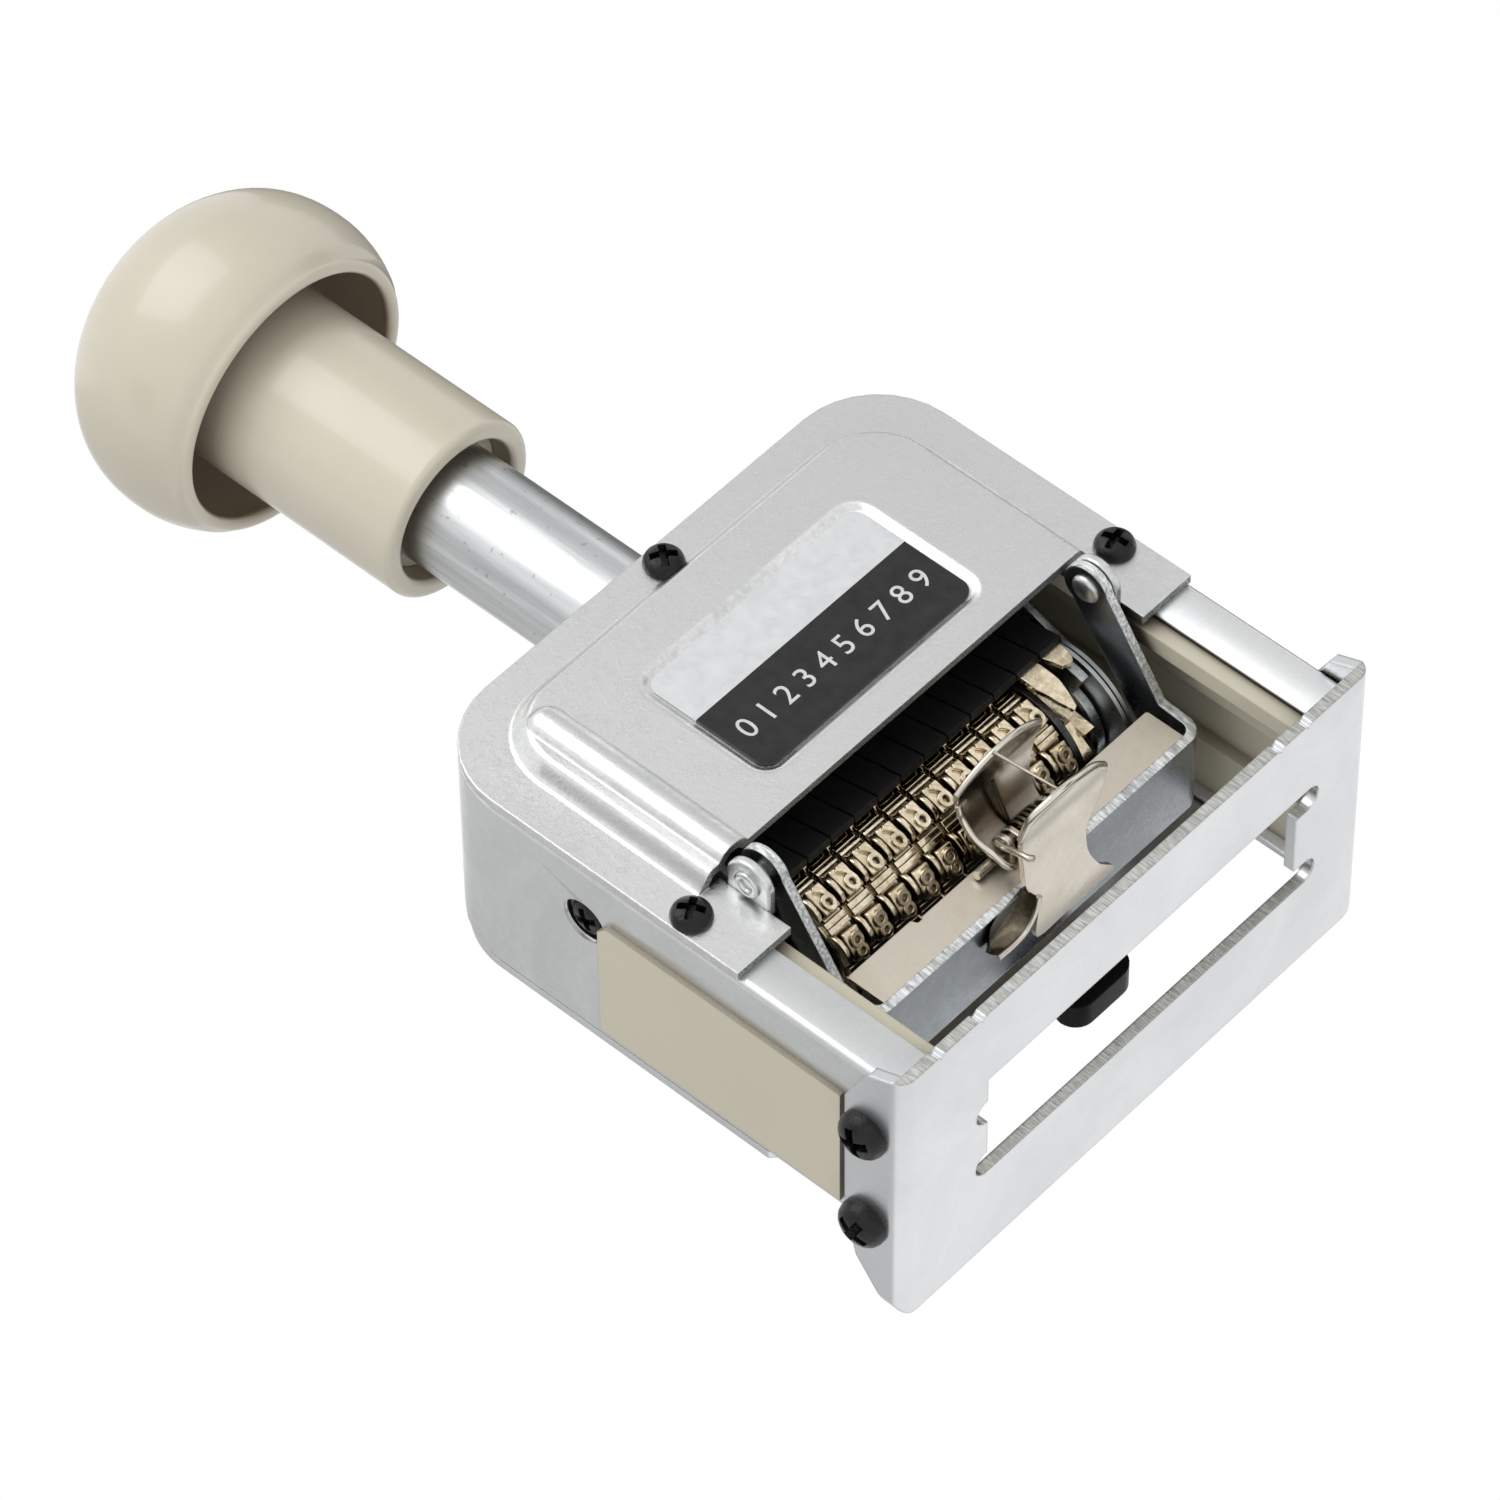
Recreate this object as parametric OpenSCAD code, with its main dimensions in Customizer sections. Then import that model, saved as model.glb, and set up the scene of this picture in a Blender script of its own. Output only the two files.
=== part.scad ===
// Ten-wheel numbering machine: a hand stamp whose number wheels step on at each press.
// Millimetres. X runs across the foot, the open front with the label faces -Y, and +Z runs up
// the handle. The origin is on the underside of the foot, at the middle of the outline.
// Shapes are drawn about the handle's axis, and placed() then sets them on the foot.

/* [Foot plate] */
// Foot edge in front of the handle's axis
foot_front = 18.3; // [17.5:0.1:24]
// Foot edge behind the handle's axis
foot_back = 24.5; // [20:0.5:32]
// Sheet thickness of the foot
foot_t = 1.5; // [1.2:0.1:2]
// Height of the two side flanges
flange_h = 8.4; // [8:0.2:12]
// Width of the print slot between its end tabs
slot_w = 53.2; // [50:0.2:54]
// Slot edge in front of the handle's axis
slot_front = 6.3; // [6.1:0.1:7.5]
// Slot edge behind the handle's axis
slot_back = 10.6; // [8:0.2:12]
// Radius of the round notches at the slot's ends
notch_r = 1.9; // [1.2:0.1:2.2]

/* [Casing] */
// Height of the casing's top above the table
case_h = 74.1; // [72:0.5:90]
// Rail face in front of the handle's axis
case_front = 14.74; // [14.5:0.1:18]
// Casing back behind the handle's axis
case_back = 13.2; // [12.6:0.2:18]
// Sheet thickness of the casing
case_t = 1.2; // [1:0.1:1.4]
// Radius of the casing's two top corners
case_r = 11.5; // [8:0.5:12]
// Width of the rails folded in from the walls
rail_w = 6; // [5.2:0.2:7]
// Room from the bail ears to the casing's outer face
side_room = 8.55; // [8:0.1:14]

/* [Front cover] */
// Sheet thickness of the cover
cover_t = 1.2; // [1:0.1:1.4]
// Height of the raised middle of the cover
raise_h = 2.4; // [1.8:0.1:3]
// Height of the window's upper edge
window_z = 36; // [35.6:0.2:40]
// Height of the lower ends of the cover's legs
leg_z = 25.4; // [24.6:0.2:28]
// Width of the label
label_w = 35.4; // [28:0.2:40]
// Height of the label
label_h = 18.6; // [15:0.2:20]

/* [Handle] */
// Outer radius of the guide tube
tube_r = 7.8; // [7:0.1:8.6]
// Wall of the guide tube
tube_wall = 1.1; // [0.8:0.1:1.4]
// Tube that shows between the casing and the sleeve
tube_show = 29.9; // [26:0.1:36]
// Outer radius of the sleeve
sleeve_r = 12; // [11.4:0.1:13]
// Wall of the sleeve
sleeve_wall = 2.6; // [2.2:0.1:2.8]
// Length of the sleeve, with what the knob hides
sleeve_l = 46; // [42:0.5:52]
// Radius of the knob at its widest
knob_r = 21; // [18:0.1:24]
// Rise of the knob above its widest ring
knob_h = 16.8; // [14:0.1:22]
// Drop from the widest ring to the knob's rim
knob_rim = 8.5; // [6:0.1:9]
// Height of the widest ring above the sleeve's mouth
knob_up = 35.6; // [32:0.1:40]
// Wall of the hollow knob
knob_wall = 1.8; // [1.4:0.1:2.4]

/* [Wheels] */
// Radius of the number wheels over their digits
wheel_r = 11; // [10.4:0.1:11.4]
// Spacing of the number wheels
wheel_pitch = 3.95; // [3.4:0.05:4.8]
// Radius of the wheel shaft
shaft_r = 2.5; // [2:0.1:3]
// Travel of the handle, from rest down to the paper
stroke = 21; // [19:0.1:21.6]

/* [Ink bail] */
// Bail pivots in front of the handle's axis
pivot_out = 18.2; // [18:0.1:19]
// Height of the bail pivots
pivot_z = 31.8; // [31.4:0.1:33]
// Radius of the ears and of the bail's lobes
ear_r = 3.2; // [2.8:0.1:3.6]
// Sheet thickness of the bail
bail_t = 1.2; // [1:0.1:1.4]
// Tray edge in front of the handle's axis
tray_front = 6; // [5.8:0.1:6.6]
// Tray edge behind the handle's axis
tray_back = 6; // [4:0.1:6.4]
// Thickness of the ink pad
pad_t = 4.3; // [3:0.1:4.6]

/* [Hidden] */
$fn = 48;
// Fits and gaps
cut = 0.6;
run_fit = 0.05;
gap = 0.3;
pad_gap = 0.4;
wheel_count = 10;
step = 360 / wheel_count;

// Mechanism, stacked along X from the left side plate
plate_t = 0.9;
arm_t = 0.8;
ring_t = 0.9;
cam_w = 3.3;
sector_t = 1.2;
right_room = 2.8;
wheels_w = wheel_count * wheel_pitch;
stack_w = 2 * plate_t + 2 * arm_t + wheels_w + ring_t + cam_w + sector_t + right_room + 5 * gap;
mech_x = 1;
mech_l = mech_x - stack_w / 2;
mech_r = mech_x + stack_w / 2;
arm_l = mech_l + plate_t + gap;
wheels_x = arm_l + arm_t + gap;
ring_x = wheels_x + wheels_w;
cam_x = ring_x + ring_t + gap;
arm_rx = cam_x + cam_w + gap;
sector_x = arm_rx + arm_t + gap;
// The bail and the cover's ears sit a little to the left of the mechanism
bail_shift = 0.35;
bail_room = 0.55;
bail_x = mech_x - bail_shift;
bail_half = stack_w / 2 + bail_room + bail_t;
ear_shift = 0.8;
ear_x = mech_x - ear_shift;
ear_t = cover_t;
ear_gap = 0.7;
ear_half = bail_half + ear_gap + ear_t;

// Casing and foot across
case_w = 2 * (ear_half + side_room);
foot_w = case_w + 2 * foot_t;
handle_y = (pivot_out + ear_r - foot_back) / 2;
foot_bend = 2;
foot_round = 3;
cover_face = case_front + cover_t;
cover_top = cover_face + raise_h;

// Heights
wheel_z = stroke + wheel_r;
pad_top = stroke - pad_gap;
holder_t = 0.5;
tray_z = pad_top - pad_t - holder_t;
bail_z = tray_z - bail_t;
sleeve_z = case_h + tube_show;
knob_z = sleeve_z + knob_up;
tube_in = 16;
tube_top = sleeve_z + tube_in;
post_z = tube_top + stroke + 2 * gap;
tube_under = 12;
tube_foot = case_h - tube_under;
seat_h = 3;
rod_r = 3.5;
rod_end = 8;

// Screws: head radius, head height, shank radius
foot_screw = [2.9, 2.5, 1.5];
cover_screw = [2.4, 1.8, 1.25];
screw_in = 2.6;
screw_in_back = 2;
screw_y = [-6.2, case_back - case_t - screw_in_back];
foot_screw_z = 5.4;
cover_screw_in = 2.6;
cover_screw_x = case_w / 2 - cover_screw_in;
cover_screw_z = 34.6;
top_screw_drop = 2.7;
wall_screw_y = -5.8;
wall_screw_z = 48.6;
wall_hole_r = 3.1;

// Slide guides
guide_in = 4.7;
guide_panel_z = [9.8, 46];
guide_panel_y = [-8.2, 11];
guide_top = tube_foot;
panel_cut = 1.4;
panel_out = 0.7;
rib_in = 8.2;
rib_w = 2.6;
groove_w = 8;
groove_d = 1.5;
tongue_w = groove_w - 2 * gap;

// Places a shape drawn about the handle's axis on the foot
module placed() translate([0, handle_y, 0]) children();

// Drawing in (x, z), given a depth from y0 back to y1
module along_y(y0, y1) translate([0, y1, 0]) rotate([90, 0, 0]) linear_extrude(y1 - y0) children();

// Drawing in (y, z), given a width from x0 to x1
module along_x(x0, x1) translate([x0, 0, 0]) rotate([90, 0, 90]) linear_extrude(x1 - x0) children();

// Round bar along X
module bar_x(x0, x1, y, z, r) translate([x0, y, z]) rotate([0, 90, 0]) cylinder(r = r, h = x1 - x0);

// Plain rectangle between two corners
module box2(a, b) translate(a) square([b[0] - a[0], b[1] - a[1]]);

// Rectangle between two corners with four round corners
module round_box2(a, b, r) {
    box2([a[0] + r, a[1]], [b[0] - r, b[1]]);
    box2([a[0], a[1] + r], [b[0], b[1] - r]);
    for (x = [a[0] + r, b[0] - r], y = [a[1] + r, b[1] - r]) translate([x, y]) circle(r);
}

// Upright outline with square feet and two round top corners
module arch2(half, z0, z1, r) {
    box2([-half, z0], [half, z1 - r]);
    box2([-half + r, z0], [half - r, z1]);
    for (s = [-1, 1]) translate([s * (half - r), z1 - r]) circle(r);
}

dome_share = 1.25;
slot_share = 0.24;
cross_share = 0.55;

// Pan-head screw with a cross recess: the head stands on z = 0, the shank goes down
module pan_screw(size, grip) {
    head_r = size[0];
    head_h = size[1];
    dome_r = head_r * dome_share;
    difference() {
        intersection() {
            cylinder(r = head_r, h = head_h);
            translate([0, 0, head_h - dome_r]) sphere(dome_r);
        }
        for (a = [0, 90]) rotate([0, 0, a])
            translate([-head_r * cross_share, -head_r * slot_share / 2, head_h / 2])
                cube([2 * head_r * cross_share, head_r * slot_share, head_h]);
    }
    translate([0, 0, -grip]) cylinder(r = size[2], h = grip + head_h / 4);
}

// Foot plate: folded sheet with side flanges, a print slot and aligning notches
module foot_plate() color("silver") placed() difference() {
    along_y(-foot_front, foot_back) difference() {
        intersection() {
            round_box2([-foot_w / 2, 0], [foot_w / 2, 2 * flange_h], foot_bend);
            box2([-foot_w / 2, 0], [foot_w / 2, flange_h]);
        }
        box2([-case_w / 2, foot_t], [case_w / 2, flange_h + cut]);
    }
    // Flange corners, sloped at the front and the back
    front_slope = 7.8;
    back_slope = 14.1;
    lip_z = 5;
    knee_share = 0.8;
    notch_share = 0.1;
    along_x(-foot_w / 2 - cut, foot_w / 2 + cut) polygon([[-foot_front - cut, foot_t],
        [-foot_front, foot_t], [-foot_front + foot_t, lip_z], [-foot_front + front_slope, flange_h],
        [-foot_front + front_slope, flange_h + cut], [-foot_front - cut, flange_h + cut]]);
    along_x(-foot_w / 2 - cut, foot_w / 2 + cut) polygon([[foot_back + cut, foot_t],
        [foot_back, foot_t], [foot_back - back_slope / 2, flange_h * knee_share],
        [foot_back - back_slope, flange_h], [foot_back - back_slope, flange_h + cut],
        [foot_back + cut, flange_h + cut]]);
    // Round corners at the back
    for (s = [-1, 1]) translate([s * (foot_w / 2 - foot_round), foot_back - foot_round, -cut])
        linear_extrude(flange_h + 2 * cut) difference() {
            box2([s > 0 ? 0 : -foot_round - cut, 0], [s > 0 ? foot_round + cut : 0, foot_round + cut]);
            circle(foot_round);
        }
    // Print slot
    translate([mech_x, 0, -cut]) linear_extrude(foot_t + 2 * cut) {
        box2([-slot_w / 2, -slot_front], [slot_w / 2, slot_back]);
        for (y = [-slot_front * notch_share, slot_back - notch_r]) translate([-slot_w / 2, y]) circle(notch_r);
        for (y = [-slot_front + notch_r, slot_back - notch_r]) translate([slot_w / 2, y]) {
            circle(notch_r);
            box2([0, -notch_r], [notch_r, notch_r]);
            translate([notch_r, 0]) circle(notch_r);
        }
    }
    // Aligning notches in the front edge
    mark_d = 0.6;
    mark_shares = [-0.84, -0.67, 0.6, 0.72];
    for (s = mark_shares) translate([s * foot_w / 2, -foot_front, -cut])
        cylinder(r = mark_d, h = foot_t + 2 * cut, $fn = 4);
    for (x = [-1, 1], y = screw_y) translate([x * foot_w / 2 - cut - foot_t, y, foot_screw_z])
        rotate([0, 90, 0]) cylinder(r = foot_screw[2] + run_fit, h = 2 * foot_t + 2 * cut);
}

// Casing: one folded sheet of two walls and a top, with rails folded in at the front and back
module casing() color("silver") placed() difference() {
    union() {
        along_y(-case_front, case_back) difference() {
            arch2(case_w / 2, foot_t, case_h, case_r);
            arch2(case_w / 2 - case_t, foot_t - cut, case_h - case_t, case_r - case_t);
        }
        for (y = [-case_front, case_back - case_t]) along_y(y, y + case_t) difference() {
            arch2(case_w / 2, foot_t, case_h, case_r);
            arch2(case_w / 2 - rail_w, foot_t - cut, case_h - rail_w, case_r - rail_w / 2);
        }
    }
    translate([0, 0, case_h - case_t - cut]) cylinder(r = tube_r + run_fit, h = case_t + 2 * cut);
    // Windows for the slide guides, with cut corners
    along_x(-case_w / 2 - cut, case_w / 2 + cut) guide_panel2(run_fit);
    for (x = [-1, 1]) {
        for (y = screw_y) translate([x * (case_w / 2 - case_t / 2), y, foot_screw_z])
            rotate([0, 90, 0]) cylinder(r = foot_screw[2] + run_fit, h = 2 * case_t, center = true);
        translate([x * (case_w / 2 - case_t / 2), wall_screw_y, wall_screw_z])
            rotate([0, 90, 0]) cylinder(r = wall_hole_r, h = 2 * case_t, center = true);
        translate([x * cover_screw_x, -case_front + case_t / 2, cover_screw_z])
            rotate([90, 0, 0]) cylinder(r = cover_screw[2] + run_fit, h = 2 * case_t, center = true);
    }
    translate([0, -case_front + case_t / 2, case_h - top_screw_drop])
        rotate([90, 0, 0]) cylinder(r = cover_screw[2] + run_fit, h = 2 * case_t, center = true);
}

// Outline of the slide guides' panel in the casing wall, in (y, z)
module guide_panel2(grow) {
    y0 = guide_panel_y[0] - grow;
    y1 = guide_panel_y[1] + grow;
    z0 = guide_panel_z[0] - grow;
    z1 = guide_panel_z[1] + grow;
    polygon([[y0, z0], [y1, z0], [y1, z1 - panel_cut / 2], [y1 - panel_cut / 2, z1],
        [y0 + panel_cut, z1], [y0, z1 - panel_cut]]);
}

// Slide guide: plastic liner behind the wall, with a panel that fills the wall's window
module slide_guide(side) color("wheat") placed() mirror([side > 0 ? 1 : 0, 0, 0]) difference() {
    wall_in = case_w / 2 - case_t;
    liner_in = case_w / 2 - guide_in;
    union() {
        along_x(-case_w / 2 - panel_out, -wall_in + cut) guide_panel2(0);
        along_x(-wall_in, -liner_in) box2([-case_front + case_t, foot_t],
            [case_back - case_t, guide_top]);
        // Front rib that shows beside the rail
        along_x(-liner_in - cut, -case_w / 2 + rib_in) box2([-case_front + case_t, foot_t],
            [-case_front + case_t + rib_w, guide_top]);
    }
    along_x(-liner_in - groove_d, -liner_in + cut) box2([-groove_w / 2, foot_t - cut],
        [groove_w / 2, guide_top + cut]);
    for (y = screw_y) translate([-wall_in - cut, y, foot_screw_z]) rotate([0, 90, 0])
        cylinder(r = foot_screw[2] + run_fit, h = guide_in - case_t - gap + cut);
    translate([-wall_in - cut, wall_screw_y, wall_screw_z]) rotate([0, 90, 0])
        cylinder(r = cover_screw[2] + run_fit, h = guide_in - case_t - gap + cut);
    translate([-cover_screw_x, -case_front, cover_screw_z]) rotate([-90, 0, 0])
        cylinder(r = cover_screw[2] + run_fit, h = case_t + screw_in);
}

// Rear cover: flat plate over the back of the casing, with its lower corners cut
rear_low = 15.4;
module rear_cover() color("silver") placed() difference() {
    along_y(case_back, case_back + cover_t) difference() {
        arch2(case_w / 2 - gap, rear_low, case_h - gap, case_r);
        for (s = [-1, 1]) translate([s * (case_w / 2 - gap), rear_low]) circle(rail_w, $fn = 4);
    }
    translate([selector_x, case_back + cover_t / 2, selector_z]) rotate([90, 0, 0])
        cylinder(r = selector_pin_r, h = 2 * cover_t, center = true);
}

// Front cover: pressed sheet with a raised middle, a bead, a label recess, legs and bail ears
plateau_side = 6.6;
plateau_drop = 5.6;
plateau_half = case_w / 2 - plateau_side;
plateau_top = case_h - plateau_drop;
plateau_r = 8.4;
plateau_slope = 1.2;
bead_in = 4.4;
bead_drop = 4.6;
bead_x = -plateau_half + bead_in;
bead_r = 2.6;
bead_sink = 1.3;
bead_top = plateau_top - bead_drop;
label_x = 1.6;
label_up = 14.4;
label_z = window_z + label_up;
label_r = 1.9;
label_deep = 0.5;
label_t = 0.3;

// Raised middle: a slab at the border joined to a smaller slab in front of it
module plateau(inset, back, low) hull() {
    along_y(-case_front - gap, back) arch2(plateau_half - inset, low, plateau_top - inset,
        plateau_r - inset);
    along_y(-cover_top + inset, -cover_top + inset + gap) arch2(plateau_half - plateau_slope - inset,
        low, plateau_top - plateau_slope - inset, plateau_r - plateau_slope - inset);
}

// Outline of a bail ear, in (y, z)
module ear2() {
    translate([-pivot_out, pivot_z]) circle(ear_r);
    box2([-pivot_out, pivot_z - ear_r], [-case_front, pivot_z + ear_r]);
}

// Half-round bead of the cover, with a round upper end
module bead(r, low) translate([bead_x, -cover_top + bead_sink, 0]) {
    translate([0, 0, low]) cylinder(r = r, h = bead_top - low);
    translate([0, 0, bead_top]) sphere(r);
}

module front_cover() color("silver") placed() difference() {
    union() {
        difference() {
            union() {
                along_y(-cover_face, -case_front) difference() {
                    arch2(case_w / 2, leg_z, case_h, case_r);
                    box2([ear_x - ear_half, leg_z - cut], [ear_x + ear_half, window_z]);
                }
                plateau(0, -case_front, window_z);
                bead(bead_r, window_z);
            }
            plateau(cover_t, -case_front + cut, window_z - cut);
            bead(bead_r - cover_t, window_z - cut);
        }
        for (s = [-1, 1]) along_x(ear_x + (s > 0 ? ear_half - ear_t : -ear_half),
            ear_x + (s > 0 ? ear_half : -ear_half + ear_t)) ear2();
    }
    along_y(-cover_top - cut, -cover_top + label_deep) translate([label_x, label_z])
        round_box2([-label_w / 2 - gap, -label_h / 2 - gap], [label_w / 2 + gap, label_h / 2 + gap],
            label_r + gap);
    for (s = [-1, 1]) translate([s * cover_screw_x, -cover_face + cover_t / 2, cover_screw_z])
        rotate([90, 0, 0]) cylinder(r = cover_screw[2] + run_fit, h = 2 * cover_t, center = true);
    translate([0, -cover_face + cover_t / 2, case_h - top_screw_drop])
        rotate([90, 0, 0]) cylinder(r = cover_screw[2] + run_fit, h = 2 * cover_t, center = true);
    bar_x(ear_x - ear_half - cut, ear_x + ear_half + cut, -pivot_out, pivot_z, pin_r);
}

// Label plate in its recess
module label_plate() color("dimgray") placed() along_y(-cover_top + label_deep - label_t,
    -cover_top + label_deep) translate([label_x, label_z])
        round_box2([-label_w / 2, -label_h / 2], [label_w / 2, label_h / 2], label_r);

// Guide tube with its flange under the casing's top and a seat for the spring
flange_r = 10.5;
flange_t = 2;
module guide_tube() color("lightgray") placed() difference() {
    union() {
        translate([0, 0, tube_foot]) cylinder(r = tube_r, h = tube_top - tube_foot);
        translate([0, 0, case_h - case_t - flange_t]) cylinder(r = flange_r, h = flange_t);
    }
    translate([0, 0, tube_foot + seat_h]) cylinder(r = tube_r - tube_wall, h = tube_top - tube_foot);
    translate([0, 0, tube_foot - cut]) cylinder(r = rod_r + run_fit, h = seat_h + 2 * cut);
}

// Screws of the foot, the cover and the walls
module foot_screw_at(x, y) color("black") placed() translate([x * foot_w / 2, screw_y[y], foot_screw_z])
    rotate([0, x * 90, 0]) pan_screw(foot_screw, foot_t + case_t + screw_in);
module cover_screw_at(x, z) color("black") placed() translate([x, -cover_face, z])
    rotate([90, 0, 0]) pan_screw(cover_screw, cover_t + case_t + screw_in / 2);
module wall_screw_at(x) color("black") placed()
    translate([x * (case_w / 2 - case_t), wall_screw_y, wall_screw_z])
        rotate([0, x * 90, 0]) pan_screw(cover_screw, screw_in);

// Rivets that the bail turns on, each with a collar that keeps the arm off the ear
pin_r = 1.3;
pin_head_r = 2.1;
pin_head = 0.8;
collar_r = 2.7;
module bar_between(a, b, r) bar_x(min(a, b), max(a, b), -pivot_out, pivot_z, r);
module bail_pin(s) color("silver") placed() {
    ear_out = ear_x + s * ear_half;
    bar_between(ear_out + s * pin_head, bail_x + s * (bail_half - bail_t), pin_r);
    bar_between(ear_out + s * pin_head, ear_out, pin_head_r);
    bar_between(ear_out - s * (ear_t + run_fit), bail_x + s * (bail_half + run_fit), collar_r);
}

// Selector lever on the rear cover, with a black plastic cap on its lower end
selector_x = 4.9;
selector_z = 42;
selector_pin_r = 1.6;
selector_w = 6;
eye_share = 0.7;
rivet_share = 1.7;
selector_foot = 11.3;
selector_y = case_back + cover_t + gap / 2;
selector_t = 1.2;
cap_half = 4.9;
cap_low = 8.1;
cap_high = 13.2;
cap_r = 1.3;
cap_round = 14;
cap_front = 1.15;
cap_back = 1.25;
module selector_lever() color("silver") placed() along_y(selector_y, selector_y + selector_t)
    difference() {
        union() {
            translate([selector_x, selector_z]) circle(selector_w * eye_share);
            translate([selector_x, selector_foot]) circle(selector_w / 2);
            box2([selector_x - selector_w / 2, selector_foot], [selector_x + selector_w / 2, selector_z]);
        }
        translate([selector_x, selector_z]) circle(selector_pin_r + run_fit);
        translate([selector_x, selector_foot]) circle(selector_pin_r);
    }
module selector_cap2() intersection() {
    round_box2([selector_x - cap_half, cap_low], [selector_x + cap_half, cap_high], cap_r);
    translate([selector_x, cap_low + cap_round]) circle(cap_round, $fn = 96);
}
module selector_knob() color("black") placed() {
    along_y(selector_y - run_fit - cap_front, selector_y - run_fit) selector_cap2();
    along_y(selector_y + selector_t + run_fit, selector_y + selector_t + run_fit + cap_back) selector_cap2();
    along_y(selector_y - cut, selector_y + selector_t + cut)
        translate([selector_x, selector_foot]) circle(selector_pin_r - run_fit);
}
module selector_pin() color("silver") placed() {
    translate([selector_x, selector_y + selector_t + gap / 2, selector_z]) rotate([90, 0, 0])
        cylinder(r = selector_pin_r, h = selector_t + cover_t + gap);
    translate([selector_x, selector_y + selector_t + gap / 2, selector_z]) rotate([-90, 0, 0])
        cylinder(r = selector_pin_r * rivet_share, h = pin_head);
}

// Knob: hollow mushroom with a post that the sleeve and the rod are fixed to
post_r = sleeve_r - sleeve_wall - run_fit;
rod_top = post_z + rod_end;
round_share = 0.9;
skirt_share = 2.1;
// Half outline of a mushroom, in (radius, height), from its rim round to its top
function mushroom(r, up, down, reach) = concat(
    [for (i = [6 : -1 : 1]) [r * pow(1 - pow(down * i / 6 / reach, 2), 1 / 2), -down * i / 6]],
    [for (i = [0 : 15]) [r * pow(cos(6 * i), round_share), up * pow(sin(6 * i), round_share)]]);
module knob() color("wheat") placed() translate([0, 0, knob_z]) difference() {
    reach = knob_rim * skirt_share;
    union() {
        difference() {
            rotate_extrude($fn = 96) polygon(concat([[0, -knob_rim]], mushroom(knob_r, knob_h, knob_rim, reach)));
            rotate_extrude($fn = 96) polygon(concat([[0, -knob_rim - cut]], mushroom(knob_r - knob_wall,
                knob_h - knob_wall, knob_rim + cut, reach)));
        }
        translate([0, 0, post_z - knob_z]) cylinder(r = post_r, h = rod_end + 2 * knob_wall);
    }
    translate([0, 0, post_z - knob_z - cut]) cylinder(r = rod_r, h = rod_end + cut);
}

// Sleeve with a rounded mouth, slipped over the knob's post
lip_r = 1;
module sleeve() color("wheat") placed() translate([0, 0, sleeve_z]) rotate_extrude($fn = 96) {
    box2([sleeve_r - sleeve_wall, lip_r], [sleeve_r, sleeve_l]);
    box2([sleeve_r - sleeve_wall + lip_r, 0], [sleeve_r - lip_r, lip_r + cut]);
    for (r = [sleeve_r - lip_r, sleeve_r - sleeve_wall + lip_r]) translate([r, lip_r]) circle(lip_r);
}

// Bush that runs on the guide tube
bush_in = 3.4;
bush_l = 11;
module sleeve_bush() color("ivory") placed() translate([0, 0, sleeve_z + bush_in]) difference() {
    cylinder(r = post_r, h = bush_l);
    translate([0, 0, -cut]) cylinder(r = tube_r + run_fit, h = bush_l + 2 * cut);
}

// Plunger rod from the knob down to the carriage
carriage_top = tube_foot - gap;
bridge_t = 2;
collar_share = 1.6;
module plunger_rod() color("lightgray") placed() {
    translate([0, 0, carriage_top - bridge_t]) cylinder(r = rod_r, h = rod_top - carriage_top + bridge_t);
    translate([0, 0, carriage_top - bridge_t - plate_t]) cylinder(r = rod_r * collar_share, h = plate_t);
}

// Carriage: bridge with tongues in the slide guides, and two side plates for the shafts
bridge_front = 10.4;
bridge_back = 8;
leaf_pivot = [-9, 46];
plate_boss_r = 7;
tangent_share = 0.98;
shoulder_share = 1.4;
module carriage_plates() color("silver") placed() difference() {
    union() {
        along_y(-bridge_front, bridge_back)
            box2([mech_l, carriage_top - bridge_t], [mech_r, carriage_top]);
        for (s = [-1, 1]) translate([s > 0 ? mech_x : -case_w / 2 + guide_in - groove_d + gap,
            -tongue_w / 2, carriage_top - bridge_t])
            cube([case_w / 2 - guide_in + groove_d - gap - s * mech_x, tongue_w, bridge_t]);
        for (x = [mech_l, mech_r - plate_t]) along_x(x, x + plate_t) {
            translate([0, wheel_z]) circle(plate_boss_r);
            polygon([[-plate_boss_r * tangent_share, wheel_z], [plate_boss_r * tangent_share, wheel_z],
                [bridge_back, wheel_z + plate_boss_r * shoulder_share], [bridge_back, carriage_top],
                [-bridge_front, carriage_top], [-bridge_front - gap, leaf_pivot[1] - plate_boss_r / 2]]);
        }
    }
    translate([0, 0, carriage_top - bridge_t - cut]) cylinder(r = rod_r, h = bridge_t + 2 * cut);
    bar_x(mech_l - cut, mech_r + cut, 0, wheel_z, shaft_r);
    bar_x(mech_l - cut, mech_r + cut, leaf_pivot[0], leaf_pivot[1], leaf_shaft_r);
}

// Shaft of the number wheels
module wheel_shaft() color("lightgray") placed() bar_x(mech_l, mech_r, 0, wheel_z, shaft_r);

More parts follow.
